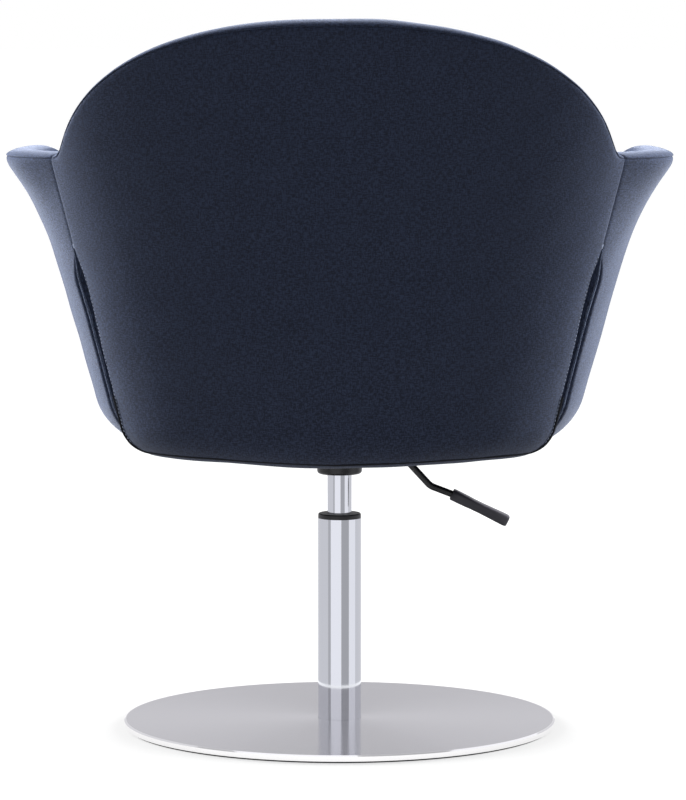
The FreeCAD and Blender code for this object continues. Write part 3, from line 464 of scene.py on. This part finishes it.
CLOTH = cloth_group()
GRAIN = grain_group()
DARK, LIGHT = srgb(19, 24, 40), srgb(62, 72, 97)
finishes = {
    "navy_cloth": cloth_material("navy_cloth", DARK, LIGHT, 0.5, 0.28),
    # The welts' cloth is lighter than the cover's: a painted highlight, for the light line that the
    # round cords catch.
    "piping_cloth": cloth_material("piping_cloth", srgb(66, 75, 96), srgb(126, 138, 164), 0.5, 0.3),
    "brushed_disc": brushed_material(),
    "bright_chrome": grained("bright_chrome", srgb(226, 228, 234), 0.03, 0.06, 60, 0.0, 1.0),
    "turned_steel": grained("turned_steel", srgb(186, 186, 190), 0.22, 0.34, 900, 0.1, 1.0),
    "base_iron": grained("base_iron", srgb(58, 58, 60), 0.45, 0.6, 300, 0.3, 0.8),
    "black_enamel": grained("black_enamel", srgb(16, 16, 18), 0.22, 0.34, 500, 0.12),
    "black_moulding": grained("black_moulding", srgb(22, 22, 25), 0.38, 0.5, 1400, 0.35),
    "black_rubber": grained("black_rubber", srgb(15, 15, 16), 0.55, 0.7, 900, 0.3),
    "pale_foam": grained("pale_foam", srgb(224, 214, 186), 0.85, 0.95, 700, 0.8),
    "plywood": grained("plywood", srgb(188, 152, 108), 0.5, 0.65, 120, 0.2),
}
navy, cord = finishes["navy_cloth"], finishes["piping_cloth"]
thread = grained("pale_thread", srgb(150, 160, 182), 0.55, 0.7, 2000, 0.3)
paddle = grained("grey_moulding", srgb(58, 57, 64), 0.36, 0.48, 1400, 0.3)
# Near-black cloth for the cord along the back panel's lower edge.
edge_black = cloth_material("near_black_edge", srgb(8, 9, 14), srgb(22, 25, 34), 0.4, 0.02)
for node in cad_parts.values():
    name = node.data.materials[0].name.split(".")[0] if node.data.materials else ""
    if name in finishes and node.data.materials[0] != finishes[name]:
        node.data.materials[0] = finishes[name]


# Upholstery

# How tight the stuffed covers are, how far a point of the cushion may swell, and the share of
# the cushion's half height that its side takes.
STUFFED, CUSHION_CAP, CUSHION_SIDE = 0.95, 0.026, 0.62


def wall_rows(top, under, corner, count):
    """Ways up a slice: under the seat, round the corner and up to the top seam."""
    length = corner * math.pi / 2
    low = np.concatenate([[-length - under, -length - under / 2, -length - 3, -length],
                          np.linspace(-length, 0, 15)[1:]])
    close = np.array([16, 11, 7.5, 5, 3.2, 2, 1.1, 0.5, 0])
    share = np.linspace(0, 1, count)[1:-1]
    rise = (top - 24)[None, :] * share[:, None]
    return np.concatenate([np.repeat(low[:, None], len(top), axis=1), rise,
                           top[None, :] - close[:, None]], axis=0)


def opening_share(height):
    """How far the slit beside the back panel is open: none at its top, full below."""
    return smooth((SLIT_TOP - height) / 45)


def seam_at(height):
    return SEAM + (SEAM_TOP - SEAM) * smooth((height - 470) / 100)


def degrees_per_mm(height):
    step = placed(SEAM + 0.1, wall_radius(SEAM + 0.1, height), height) - placed(
        SEAM - 0.1, wall_radius(SEAM - 0.1, height), height)
    return 0.2 / np.linalg.norm(step, axis=-1)


def seam_dip(distance):
    return -1.5 * np.exp(-distance / 1.3) - 0.7 * np.exp(-distance / 7)


def panel_columns():
    """The back panel's columns from left to right: the hand, the share of the half width, the
    way from the seam in mm, and how deep the edge rolls in."""
    edge = np.array([-60, -42, -30, -22, -16, -12, -9, -7, -5.6, -4.8, -4.2, -3.6, -3.0, -2.5,
                     -1.7, -1.0, -0.5, -0.15, 0.0, 0.15])
    roll, turned_in = 2.5, 9.0
    fall = np.where(edge > -roll,
                    roll - np.sqrt(np.maximum(roll ** 2 - (edge + roll) ** 2, 0)), 0)
    fall[-1] = turned_in
    half = np.linspace(0, 1, 46)[:-1]
    whole, plain = np.ones(len(edge)), np.ones(2 * len(half) - 1)
    share = np.concatenate([whole, half[::-1], half[1:], whole])
    away = np.concatenate([edge[::-1], -68 * plain, edge])
    drop = np.concatenate([fall[::-1], 0 * plain, fall])
    side = np.ones(len(share))
    side[:len(share) // 2] = -1
    return side, share, away, drop


def panel_rows(angle_row):
    """Ways up the back panel, each slice to its own top seam, and their heights."""
    top = rim_height(angle_row) - SEAM_GAP - PANEL_BOTTOM - PANEL_CORNER
    run = wall_rows(top, 3.0, PANEL_CORNER, 62)
    return run, height_of(run, True)


def back_panel():
    """The outer back: one piece from the top seam round the lower corner."""
    side, share, away, drop = panel_columns()
    near = away > -61
    _, height = panel_rows(SEAM_TOP * share * side)
    per = degrees_per_mm(height)
    seam = seam_at(height) - TUCK * per * opening_share(height)
    angle = side * np.where(near, seam + away * per, (seam - 68 * per) * share)
    run, height = panel_rows(angle[-1])
    is_open = opening_share(height)
    from_edge = np.maximum(-away, 0) * np.ones_like(height)
    closed = 0.4 * seam_dip(from_edge) + np.where(away > 0.1, -2.0, 0)
    offset = -is_open * drop + (1 - is_open) * np.where(near, closed, 0)
    stitched = np.exp(-((-away - STITCH_LINE) / 1.1) ** 2) * 0.45
    offset -= np.where(near, stitched * smooth((SLIT_TOP - height) / 20), 0)
    offset -= np.where(near, 0.9 * is_open * np.exp(-from_edge / 9), 0)
    offset += seam_dip(run[-1] - run)
    base = panel_point(angle, run)
    normal = normals_of(panel_point, angle, run)
    base[..., 2] -= panel_sag(angle, height)
    offset += ripple(base, 0.7) * (1 - np.exp(-from_edge / 25))
    u = np.cumsum(np.linalg.norm(np.diff(base, axis=1, prepend=base[:, :1]), axis=-1), axis=1)
    piece = grid_mesh("back_panel_cover", base + offset[..., None] * normal, navy,
                      u=(u - u[:, [len(side) // 2]]) * MM)
    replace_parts(piece, "outer_back_panel")


# The section of the groove beside the back panel, from under the panel over the welt to the
# plain arm: the way from the seam and the depth, in mm.
GROOVE = [(-9.0, -8.0), (-3.0, -8.0), (3.0, -8.2), (6.2, -8.0), (7.2, -6.2), (8.2, -3.6),
          (9.2, -1.9), (10.0, -1.2), (10.8, -1.8), (11.8, -4.2), (13.4, -6.0), (16.4, -6.2),
          (17.8, -5.0), (18.8, -3.0), (19.6, -1.5), (20.6, -0.6), (22.2, -0.2), (24.0, 0.0)]


def arm_angles(height, side):
    """Angles, offsets and ways from the nearest seam of an arm's columns: the groove first,
    then on to the lip seam."""
    is_open = opening_share(height)
    per = degrees_per_mm(height)
    angles, offsets, distances = [], [], []
    for index, (along, deep) in enumerate(GROOVE):
        spread = 0.05 * index
        angles.append(seam_at(height) + (along * is_open + spread) * per)
        offsets.append(deep * is_open)
        distances.append(spread + 30 * is_open)
    start = angles[-1]
    total = 470.0
    near_groove = np.array([0.8, 1.8, 3.2, 5, 8, 12]) / total
    near_lip = 1 - np.array([12, 8, 5, 3.2, 2, 1.1, 0.5, 0]) / total
    plain = np.linspace(18 / total, 1 - 18 / total, 60)
    for share in np.concatenate([near_groove, plain, near_lip]):
        angles.append(start + (LIP - start) * share)
        offsets.append(np.zeros(height.shape))
        distances.append(np.minimum(share * total + 30 * is_open, (1 - share) * total))
    return (np.stack(angles, axis=-1) * side, np.stack(offsets, axis=-1),
            np.stack(distances, axis=-1))


def arm_rows(angle_row):
    lift = rim_height(angle_row) - SHELL_BOTTOM - SHELL_CORNER
    return wall_rows(np.maximum(lift, 19.7), 26.0, SHELL_CORNER, 58)


def arm_cover(side, name, node):
    """The outside of an arm, with the groove beside the back panel. The columns are found at
    the seam's own heights, and each slice has its own top, so both are worked out in turn."""
    run = arm_rows(np.array([SEAM_TOP]))
    for _ in range(3):
        angle, offset, distance = arm_angles(height_of(run[:, 0]), side)
        run = arm_rows(angle[-1])
    base = shell_point(angle, run)
    normal = normals_of(shell_point, angle, run)
    from_top = run[-1] - run
    offset = offset + 0.5 * seam_dip(np.maximum(distance, 0)) + seam_dip(from_top)
    offset += ripple(base, 0.7) * (1 - np.exp(-np.minimum(distance, from_top) / 25))
    points = base + offset[..., None] * normal
    if side < 0:
        points = points[:, ::-1]
    piece = grid_mesh(name, points, navy)
    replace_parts(piece, node)


def rim_cover(name, first, last, floor=372.0):
    """The top edge and the inside, in one piece from the outer seam down to the floor height."""
    reach = 330.0
    across = steps(0.0, abs(last - first) * math.radians(1) * reach, 9.0)
    angle_row = first + (last - first) * across / across[-1]
    over = np.concatenate([[0, 0.5, 1.1, 2, 3.2, 5], np.linspace(8, RIM_HALF - 4, 14)])
    deep = rim_height(angle_row) - floor
    rows = [np.full(len(angle_row), value) for value in over]
    rows += [RIM_HALF + deep * share for share in np.linspace(0.03, 1, 40)]
    run = np.stack(rows, axis=0)
    angle = np.repeat(angle_row[None, :], len(rows), axis=0)
    base = rim_point(angle, run)
    normal = normals_of(rim_point, angle, run)
    ends = np.minimum(across, across[-1] - across)[None, :]
    offset = seam_dip(ends) + seam_dip(run)
    offset += ripple(base, 0.9) * (1 - np.exp(-np.minimum(ends, run) / 25))
    piece = grid_mesh(name, base + offset[..., None] * normal, navy)
    return piece


def front_lip():
    """The low front of the bucket, outside."""
    across = steps(0.0, 320.0, 9.0)
    angle_row = LIP + (360 - 2 * LIP) * across / across[-1]
    lift = rim_height(angle_row) - SHELL_BOTTOM - SHELL_CORNER
    length = SHELL_CORNER * math.pi / 2
    low = np.concatenate([[-length - 26, -length - 13, -length - 3], np.linspace(-length, 0, 16)])
    rows = [np.full(len(angle_row), value) for value in low]
    rows += [lift * share for share in (0.15, 0.35, 0.55, 0.72, 0.85, 0.94, 1.0)]
    run = np.stack(rows, axis=0)
    angle = np.repeat(angle_row[None, :], len(rows), axis=0)
    base = shell_point(angle, run)
    normal = normals_of(shell_point, angle, run)
    ends = np.minimum(across, across[-1] - across)[None, :]
    offset = seam_dip(ends) + seam_dip(run[-1] - run)
    offset += ripple(base, 0.7) * (1 - np.exp(-ends / 25))
    piece = grid_mesh("front_lip_cover", base + offset[..., None] * normal, navy)
    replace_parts(piece, "front_lip_shell")


def edge_line(side, away, lift, runs, panel=False):
    """Places and directions along the slit, away mm from the seam. Beyond the seam the line
    runs into it where the slit closes, and on the panel's side it follows the tuck."""
    height = height_of(runs, panel)
    is_open = opening_share(height)
    if away > 0:
        shift, raised = away * is_open, lift * is_open
    else:
        shift, raised = away - TUCK * is_open, lift + 0 * is_open
    angle = (seam_at(height) + shift * degrees_per_mm(height)) * side
    surface = panel_point if panel else shell_point
    normal = normals_of(surface, angle, runs)
    place = surface(angle, runs) + raised[:, None] * normal
    way = np.gradient(place, axis=0)
    way /= np.linalg.norm(way, axis=1, keepdims=True)
    return place, way, normal


def slit_trim():
    """The round welt, the row of stitches and the bar at the top of each slit."""
    shell_start, panel_start = SHELL_BOTTOM + SHELL_CORNER, PANEL_BOTTOM + PANEL_CORNER
    for side, hand in ((1, "right"), (-1, "left")):
        runs = np.linspace(-0.9 * SHELL_CORNER, SLIT_TOP - 5 - shell_start, 90)
        place, _, _ = edge_line(side, 10.0, 0.1, runs)
        radius = 0.4 + 0.8 * opening_share(height_of(runs))
        welt = tube_mesh("welt_" + hand, place, radius, cord, slot="piping_cloth")
        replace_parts(welt, "piping_" + hand)
        runs = np.arange(-0.5 * PANEL_CORNER, SLIT_TOP - 9 - panel_start, 4.2)
        place, way, normal = edge_line(side, -STITCH_LINE, -0.25, runs, True)
        stitch_mesh("panel_stitches_" + hand, place, way, normal, 2.7, 0.5, thread)
        runs = SLIT_TOP - 3 - shell_start + np.arange(5) * 1.0
        place, way, normal = edge_line(side, -0.5, -1.0, runs)
        across = np.cross(way, normal)
        stitch_mesh("slit_bar_" + hand, place, across, normal, 6.0, 0.5, thread)


def vertex_places(mesh):
    places = np.empty(len(mesh.vertices) * 3)
    mesh.vertices.foreach_get("co", places)
    return places.reshape(-1, 3)


def blown_cushion():
    """The cushion's solid, made even and blown up by a cloth simulation: a tree to shoot rays
    at, and the solid's lowest and highest corner."""
    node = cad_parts["seat_cushion"]
    mesh = node.data.copy()
    mesh.transform(node.matrix_world)
    blank = bpy.data.objects.new("cushion_blank", mesh)
    scene.collection.objects.link(blank)
    places = vertex_places(mesh)
    low, high = places.min(axis=0), places.max(axis=0)
    centre = (low + high) / 2
    places = centre + (places - centre) * (0.985, 0.985, 0.8)
    mesh.vertices.foreach_set("co", places.reshape(-1))
    remesh = blank.modifiers.new("remesh", "REMESH")
    remesh.mode, remesh.voxel_size = "VOXEL", 0.006
    bpy.context.view_layer.update()
    even = bpy.data.meshes.new_from_object(blank.evaluated_get(
        bpy.context.evaluated_depsgraph_get()))
    blank.modifiers.clear()
    blank.data = even
    places = vertex_places(even)
    cloth = blank.modifiers.new("cloth", "CLOTH")
    cloth.settings.use_pressure = True
    cloth.settings.uniform_pressure_force = 4
    cloth.settings.effector_weights.gravity = 0
    for number in range(1, 21):
        scene.frame_set(number)
    blown = blank.evaluated_get(bpy.context.evaluated_depsgraph_get())
    moved = vertex_places(blown.data) - places
    far = np.linalg.norm(moved, axis=1, keepdims=True)
    places = places + moved * np.minimum(1, CUSHION_CAP / np.maximum(far, 1e-9))
    blank.modifiers.clear()
    scene.frame_set(1)
    tree = BVHTree.FromPolygons(places.tolist(), [tuple(face.vertices) for face in even.polygons])
    bpy.data.objects.remove(blank)
    return tree, low, high


def even_out(rows):
    """Each row round the cushion without the small waves of the simulation."""
    rows = rows[:, :-1]
    rows = sum(np.roll(rows, shift, axis=1) for shift in range(-6, 7)) / 13
    return np.concatenate([rows, rows[:, :1]], axis=1)


def cushion_grid(turns, flat, levels):
    """The cushion's surface in metres, from the middle underneath up the side and over the
    top. Its plan fills the room between the walls, and the side's bulge and the crowns are
    those of the blown solid. A ray that meets nothing takes the room, or the side's edge."""
    tree, low, high = blown_cushion()
    middle, half_side = (low[2] + high[2]) / 2, (high[2] - low[2]) / 2 * CUSHION_SIDE
    room = MM * (wall_radius(np.degrees(turns), 385.0) - WALL - 3.5)

    def reach_at(index, level):
        way = Vector((math.sin(turns[index]), math.cos(turns[index]), 0))
        hit = tree.ray_cast(Vector((0, 0, middle + level * half_side)) + way * 0.6, -way)[0]
        return math.hypot(hit.x, hit.y) if hit else room[index]

    sides = even_out(np.array([[reach_at(index, level) for index in range(len(turns))]
                               for level in levels]))
    fill = room / sides.max(axis=0)

    def face_rows(hand, edge):
        rows = []
        for share in flat:
            row = []
            for turn, radius in zip(turns, edge * share):
                start = Vector((radius * math.sin(turn), radius * math.cos(turn),
                                middle + hand * 0.2))
                hit = tree.ray_cast(start, Vector((0, 0, -hand)))[0]
                row.append(hit.z if hit else middle + hand * half_side)
            rows.append(row)
        radius = flat[:, None] * (edge * fill)[None, :]
        return np.stack([radius * np.sin(turns), radius * np.cos(turns),
                         even_out(np.array(rows))], axis=-1)

    top, under = face_rows(1, sides[-1]), face_rows(-1, sides[0])
    sides = sides * fill
    height = middle + levels[:, None] * half_side + 0 * sides
    wall = np.stack([sides * np.sin(turns), sides * np.cos(turns), height], axis=-1)
    points = np.concatenate([under, wall, top[::-1]], axis=0)
    points[..., 2] = np.clip(points[..., 2], low[2] + 0.0005, high[2] + 0.003)
    return points, middle


def cushion_normals(points, middle):
    across = np.roll(points[:, :-1], -1, axis=1) - np.roll(points[:, :-1], 1, axis=1)
    normal = np.cross(across, np.gradient(points[:, :-1], axis=0))
    normal /= np.maximum(np.linalg.norm(normal, axis=-1, keepdims=True), 1e-9)
    normal = np.concatenate([normal, normal[:, :1]], axis=1)
    outward = points - np.array([0, 0, middle])
    return normal * np.sign(np.sum(normal * outward, axis=(-1, -2), keepdims=True))


def seat_cushion():
    """The loose seat: the blown solid, covered again with rows and columns so that the weave
    and the two welts follow it."""
    turns = np.linspace(0, 2 * math.pi, 181)
    flat = np.concatenate([np.linspace(0, 0.9, 22), [0.93, 0.955, 0.972, 0.985, 0.993]])
    levels = np.linspace(-1, 1, 13)
    points, middle = cushion_grid(turns, flat, levels)
    normal = cushion_normals(points, middle)
    welt_rows = [len(flat), len(flat) + len(levels) - 1]
    for index, row in enumerate(welt_rows):
        line = points[row] + normal[row] * 0.0004
        tube_mesh("cushion_welt_%d" % index, line / MM, 2.0, cord)
        for near, deep in ((0, 0.0026), (1, 0.0012), (-1, 0.0012)):
            points[row + near] -= normal[row + near] * deep
    steps_up = np.linalg.norm(np.diff(points, axis=0), axis=-1)
    v = np.concatenate([np.zeros((1, len(turns))), np.cumsum(steps_up, axis=0)], axis=0)
    u = np.repeat((turns * 0.24)[None, :], len(points), axis=0)
    cover = grid_mesh("seat_cushion_cover", points / MM, navy, u=u, v=v)
    # The weave lies straight across the two faces, and runs round only on the side.
    layer = cover.data.uv_layers["cloth"].data
    count = len(turns)
    for polygon in cover.data.polygons:
        if not welt_rows[0] <= polygon.index // (count - 1) < welt_rows[1]:
            for loop, corner in zip(polygon.loop_indices, polygon.vertices):
                layer[loop].uv = points[corner // count, corner % count, :2]
    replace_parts(cover, "seat_cushion")


def rounded_box(turns, half_x, half_y, power):
    return np.array([(abs(math.sin(turn) / half_x) ** power + abs(math.cos(turn) / half_y) ** power)
                     ** (-1 / power) for turn in turns])


def dust_cover():
    """The thin cloth tacked under the seat round the mechanism; the real one is black, this one
    takes the navy cloth.
    """
    turns = np.linspace(0, 2 * math.pi, 145)
    angle = np.degrees(turns)
    clear = 6
    inner = rounded_box(turns, 95.0 + clear, 75.0 + clear, 8)
    corner_end = -SHELL_CORNER * math.pi / 2
    behind = shell_point(angle, np.full(len(turns), corner_end))
    outer = np.hypot(behind[:, 0], behind[:, 1]) - 0.4
    at_seam = shell_point(np.array([SEAM]), np.array([corner_end]))[0]
    half_width = placed(SEAM, np.hypot(at_seam[0], at_seam[1]), 0.0)[0]
    box = rounded_box(turns, half_width, 195.0, 9)
    outer = np.where(from_back(angle) <= SEAM, outer, np.minimum(outer, box))
    share = np.concatenate([[0, 0.01, 0.03], np.linspace(0.07, 0.93, 24), [0.97, 0.99, 1.0]])
    radius = inner[None, :] + (outer - inner)[None, :] * share[:, None]
    calm = np.sin(math.pi * share)[:, None]
    height = SHELL_BOTTOM - 1.2 - 2.6 * calm - 0.5 * np.sin(angle[None, :] * math.pi / 15) * calm
    points = np.stack([radius * np.sin(turns), radius * np.cos(turns), height], axis=-1)
    cover = grid_mesh("dust_cover", points, navy, u=points[..., 0] * MM, v=points[..., 1] * MM)
    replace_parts(cover, "underside_panel")


def lever_grip():
    """The moulded paddle at the end of the lever."""
    slope, squareness = math.radians(26), 5.0
    along = np.array([-math.cos(slope), 0, -math.sin(slope)])
    up = np.array([-math.sin(slope), 0, math.cos(slope)])
    start = np.array([-130.0, 0, 270.3])
    rows = []
    turns = np.linspace(0, 2 * math.pi, 49)
    # Sections along the paddle: the way from the rod's end, half the width, half the height.
    for far, wide, tall in ((0.0, 6.0, 5.0), (0.0, 9.0, 6.1), (0.6, 9.8, 6.5), (10, 11.0, 6.4),
                            (18, 12.0, 6.2), (26, 12.6, 5.8), (38, 13.0, 5.7), (50, 13.0, 6.0),
                            (60, 13.0, 6.3), (68, 12.4, 6.5), (70.8, 11.0, 6.1),
                            (71.7, 9.4, 5.4), (72, 6.4, 3.6), (72, 0.1, 0.1)):
        around = (np.abs(np.sin(turns) / wide) ** squareness
                  + np.abs(np.cos(turns) / tall) ** squareness) ** (-1 / squareness)
        rows.append(start + along * far + np.outer(around * np.sin(turns), [0, 1, 0])
                    + np.outer(around * np.cos(turns), up))
    grip = grid_mesh("lever_grip_paddle", np.array(rows), paddle,
                     body="lever", slot="black_moulding")
    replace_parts(grip, "lever_grip")


def panel_lower_edge_cord():
    """A near-black cord along the panel's lower edge and round its two corners."""
    low, bend = -0.62 * PANEL_CORNER * math.pi / 2, 16.0
    quarter = np.linspace(0, math.pi / 2, 10)[1:]
    runs = np.concatenate([np.linspace(34, low + bend, 14), low + bend - bend * np.sin(quarter)])
    inward = np.concatenate([np.zeros(14), bend * (1 - np.cos(quarter))])
    height = height_of(runs, True)
    corner = seam_at(height) - (TUCK * opening_share(height) + inward) * degrees_per_mm(height)
    along = np.linspace(corner[-1], -corner[-1], 80)[1:-1]
    angle = np.concatenate([corner, along, -corner[::-1]])
    runs = np.concatenate([runs, np.full(len(along), low), runs[::-1]])
    path = panel_point(angle, runs) - 0.4 * normals_of(panel_point, angle, runs)
    path[:, 2] -= panel_sag(angle, height_of(runs, True))
    tube_mesh("panel_lower_edge_cord", path, np.full(len(path), 1.5), edge_black, slot="piping_cloth")


seat_cushion()
dust_cover()
lever_grip()
panel_lower_edge_cord()
back_panel()
arm_cover(1, "arm_cover_right", "arm_shell_right")
arm_cover(-1, "arm_cover_left", "arm_shell_left")
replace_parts(rim_cover("back_inner_cover", -SEAM_TOP, SEAM_TOP), "back_shell")
rim_cover("arm_inner_right", SEAM_TOP, LIP)
rim_cover("arm_inner_left", -LIP, -SEAM_TOP)
front_lip()
rim_cover("lip_inner_cover", LIP, 360 - LIP, floor=345.0)
slit_trim()


# Camera, light and floor

CAMERA_PLACE, CAMERA_PITCH, CAMERA_LENS = (-0.0873, 4.9992, 0.880), 0.0998, 195.9
# Upright grey cards round the base: first and last angle, from the camera's side towards -X,
# and the tone. Then how far they stand from the middle, and their lower and upper edge.
CARDS = ((10, 50, 0.45), (50, 90, 0.95), (90, 300, 0.7), (300, 315, 0.5), (315, 370, 1.0))
CARD_REACH, CARD_LOW, CARD_HIGH = 0.3, 0.004, 0.31


def set_camera():
    data = bpy.data.cameras.new("camera")
    camera = bpy.data.objects.new("camera", data)
    scene.collection.objects.link(camera)
    camera.location = CAMERA_PLACE
    yaw = math.atan2(-CAMERA_PLACE[0], CAMERA_PLACE[1])
    aim = Vector((math.sin(yaw) * math.cos(CAMERA_PITCH), -math.cos(yaw) * math.cos(CAMERA_PITCH),
                  -math.sin(CAMERA_PITCH)))
    camera.rotation_mode = "QUATERNION"
    camera.rotation_quaternion = aim.to_track_quat("-Z", "Y")
    data.lens = CAMERA_LENS
    data.sensor_width = 36
    data.shift_x = 0.0043
    data.clip_start, data.clip_end = 0.05, 60
    scene.camera = camera


def softbox(name, place, size, power):
    data = bpy.data.lights.new(name, "AREA")
    data.shape = "RECTANGLE"
    data.size, data.size_y = size
    data.energy = power
    lamp = bpy.data.objects.new(name, data)
    scene.collection.objects.link(lamp)
    lamp.location = place
    way = Vector((0, 0, 0.5)) - Vector(place)
    lamp.rotation_mode = "QUATERNION"
    lamp.rotation_quaternion = way.to_track_quat("-Z", "Y")
    lamp.visible_glossy = False


def grey_cards():
    """Cards that only shiny faces see."""
    mesh = bpy.data.meshes.new("grey_cards")
    points, faces, own = [], [], []
    for index, (first, last, tone) in enumerate(CARDS):
        pieces = (last - first) // 6 or 1
        turns = np.radians(np.linspace(first, last, pieces + 1))
        for turn, after in zip(turns[:-1], turns[1:]):
            start = len(points)
            for side in (turn, after):
                for height in (CARD_LOW, CARD_HIGH):
                    points.append((-CARD_REACH * math.sin(side), CARD_REACH * math.cos(side),
                                   height))
            faces.append((start, start + 2, start + 3, start + 1))
            own.append(index)
        material, _, shader = new_material("card_%d" % index, (0, 0, 0, 1), 1)
        shader.inputs["Specular IOR Level"].default_value = 0
        shader.inputs["Emission Color"].default_value = (tone, tone, tone * 1.04, 1)
        shader.inputs["Emission Strength"].default_value = 1
        mesh.materials.append(material)
    mesh.from_pydata(points, [], faces)
    mesh.polygons.foreach_set("material_index", own)
    cards = bpy.data.objects.new("grey_cards", mesh)
    scene.collection.objects.link(cards)
    for label in ("camera", "diffuse", "shadow", "transmission", "volume_scatter"):
        setattr(cards, "visible_" + label, False)


def background_rays(tree):
    """1 for the rays that see the background: from the camera, a shiny face or through glass."""
    paths = tree.nodes.new("ShaderNodeLightPath")
    either = paths.outputs["Is Camera Ray"]
    for label in ("Is Glossy Ray", "Is Transmission Ray"):
        larger = tree.nodes.new("ShaderNodeMath")
        larger.operation = "MAXIMUM"
        tree.links.new(either, larger.inputs[0])
        tree.links.new(paths.outputs[label], larger.inputs[1])
        either = larger.outputs[0]
    return either


def studio_world():
    """White where the background is seen, and a dim cool light on everything else."""
    world = bpy.data.worlds.new("studio")
    scene.world = world
    world.use_nodes = True
    nodes, links = world.node_tree.nodes, world.node_tree.links
    nodes.clear()
    output, choice = nodes.new("ShaderNodeOutputWorld"), nodes.new("ShaderNodeMixShader")
    for slot, colour, strength in ((1, (0.85, 0.95, 1.15, 1), 0.095), (2, (1, 1, 1, 1), 1.0)):
        glow = nodes.new("ShaderNodeBackground")
        glow.inputs["Color"].default_value = colour
        glow.inputs["Strength"].default_value = strength
        links.new(glow.outputs["Background"], choice.inputs[slot])
    links.new(background_rays(world.node_tree), choice.inputs["Fac"])
    links.new(choice.outputs["Shader"], output.inputs["Surface"])


def plain_floor():
    """A pale floor, white from a little way outside the base; nearer the base its glow is dimmed as
    a painted contact shadow, and the base's own shadow shows a little on top. It gives the object
    little light."""
    far = 40
    mesh = bpy.data.meshes.new("floor")
    mesh.from_pydata([(-far, -far, 0), (far, -far, 0), (far, far, 0), (-far, far, 0)], [],
                     [(0, 1, 2, 3)])
    material, tree, shader = new_material("floor", (0.1, 0.1, 0.1, 1), 0.9)
    shader.inputs["Emission Color"].default_value = (1, 1, 1, 1)
    shader.inputs["Specular IOR Level"].default_value = 0
    place = tree.nodes.new("ShaderNodeTexCoord")
    reach = tree.nodes.new("ShaderNodeVectorMath")
    reach.operation = "LENGTH"
    tree.links.new(place.outputs["Object"], reach.inputs[0])
    # The glow falls from 1.0 to 0.7 towards the base's edge: a painted contact shadow round the
    # base.
    glow, level = tree.nodes.new("ShaderNodeMapRange"), tree.nodes.new("ShaderNodeMapRange")
    for label, amount in (("From Min", 0.25), ("From Max", 0.4), ("To Min", 0.7),
                          ("To Max", 1.0)):
        glow.inputs[label].default_value = amount
    tree.links.new(reach.outputs["Value"], glow.inputs["Value"])
    level.inputs["To Min"].default_value = 0.09
    tree.links.new(background_rays(tree), level.inputs["Value"])
    tree.links.new(glow.outputs["Result"], level.inputs["To Max"])
    tree.links.new(level.outputs["Result"], shader.inputs["Emission Strength"])
    mesh.materials.append(material)
    floor = bpy.data.objects.new("floor", mesh)
    scene.collection.objects.link(floor)


set_camera()
softbox("left_box", (2.15, -1.35, 1.45), (1.4, 1.8), 310)
softbox("right_box", (-2.15, -1.35, 1.45), (1.4, 1.8), 265)
softbox("top_box", (0.0, -0.2, 2.8), (1.6, 1.6), 30)
softbox("back_fill", (0.0, 5.7, 1.7), (2.4, 1.8), 36)
grey_cards()
studio_world()
plain_floor()

scene.view_settings.view_transform = "Standard"
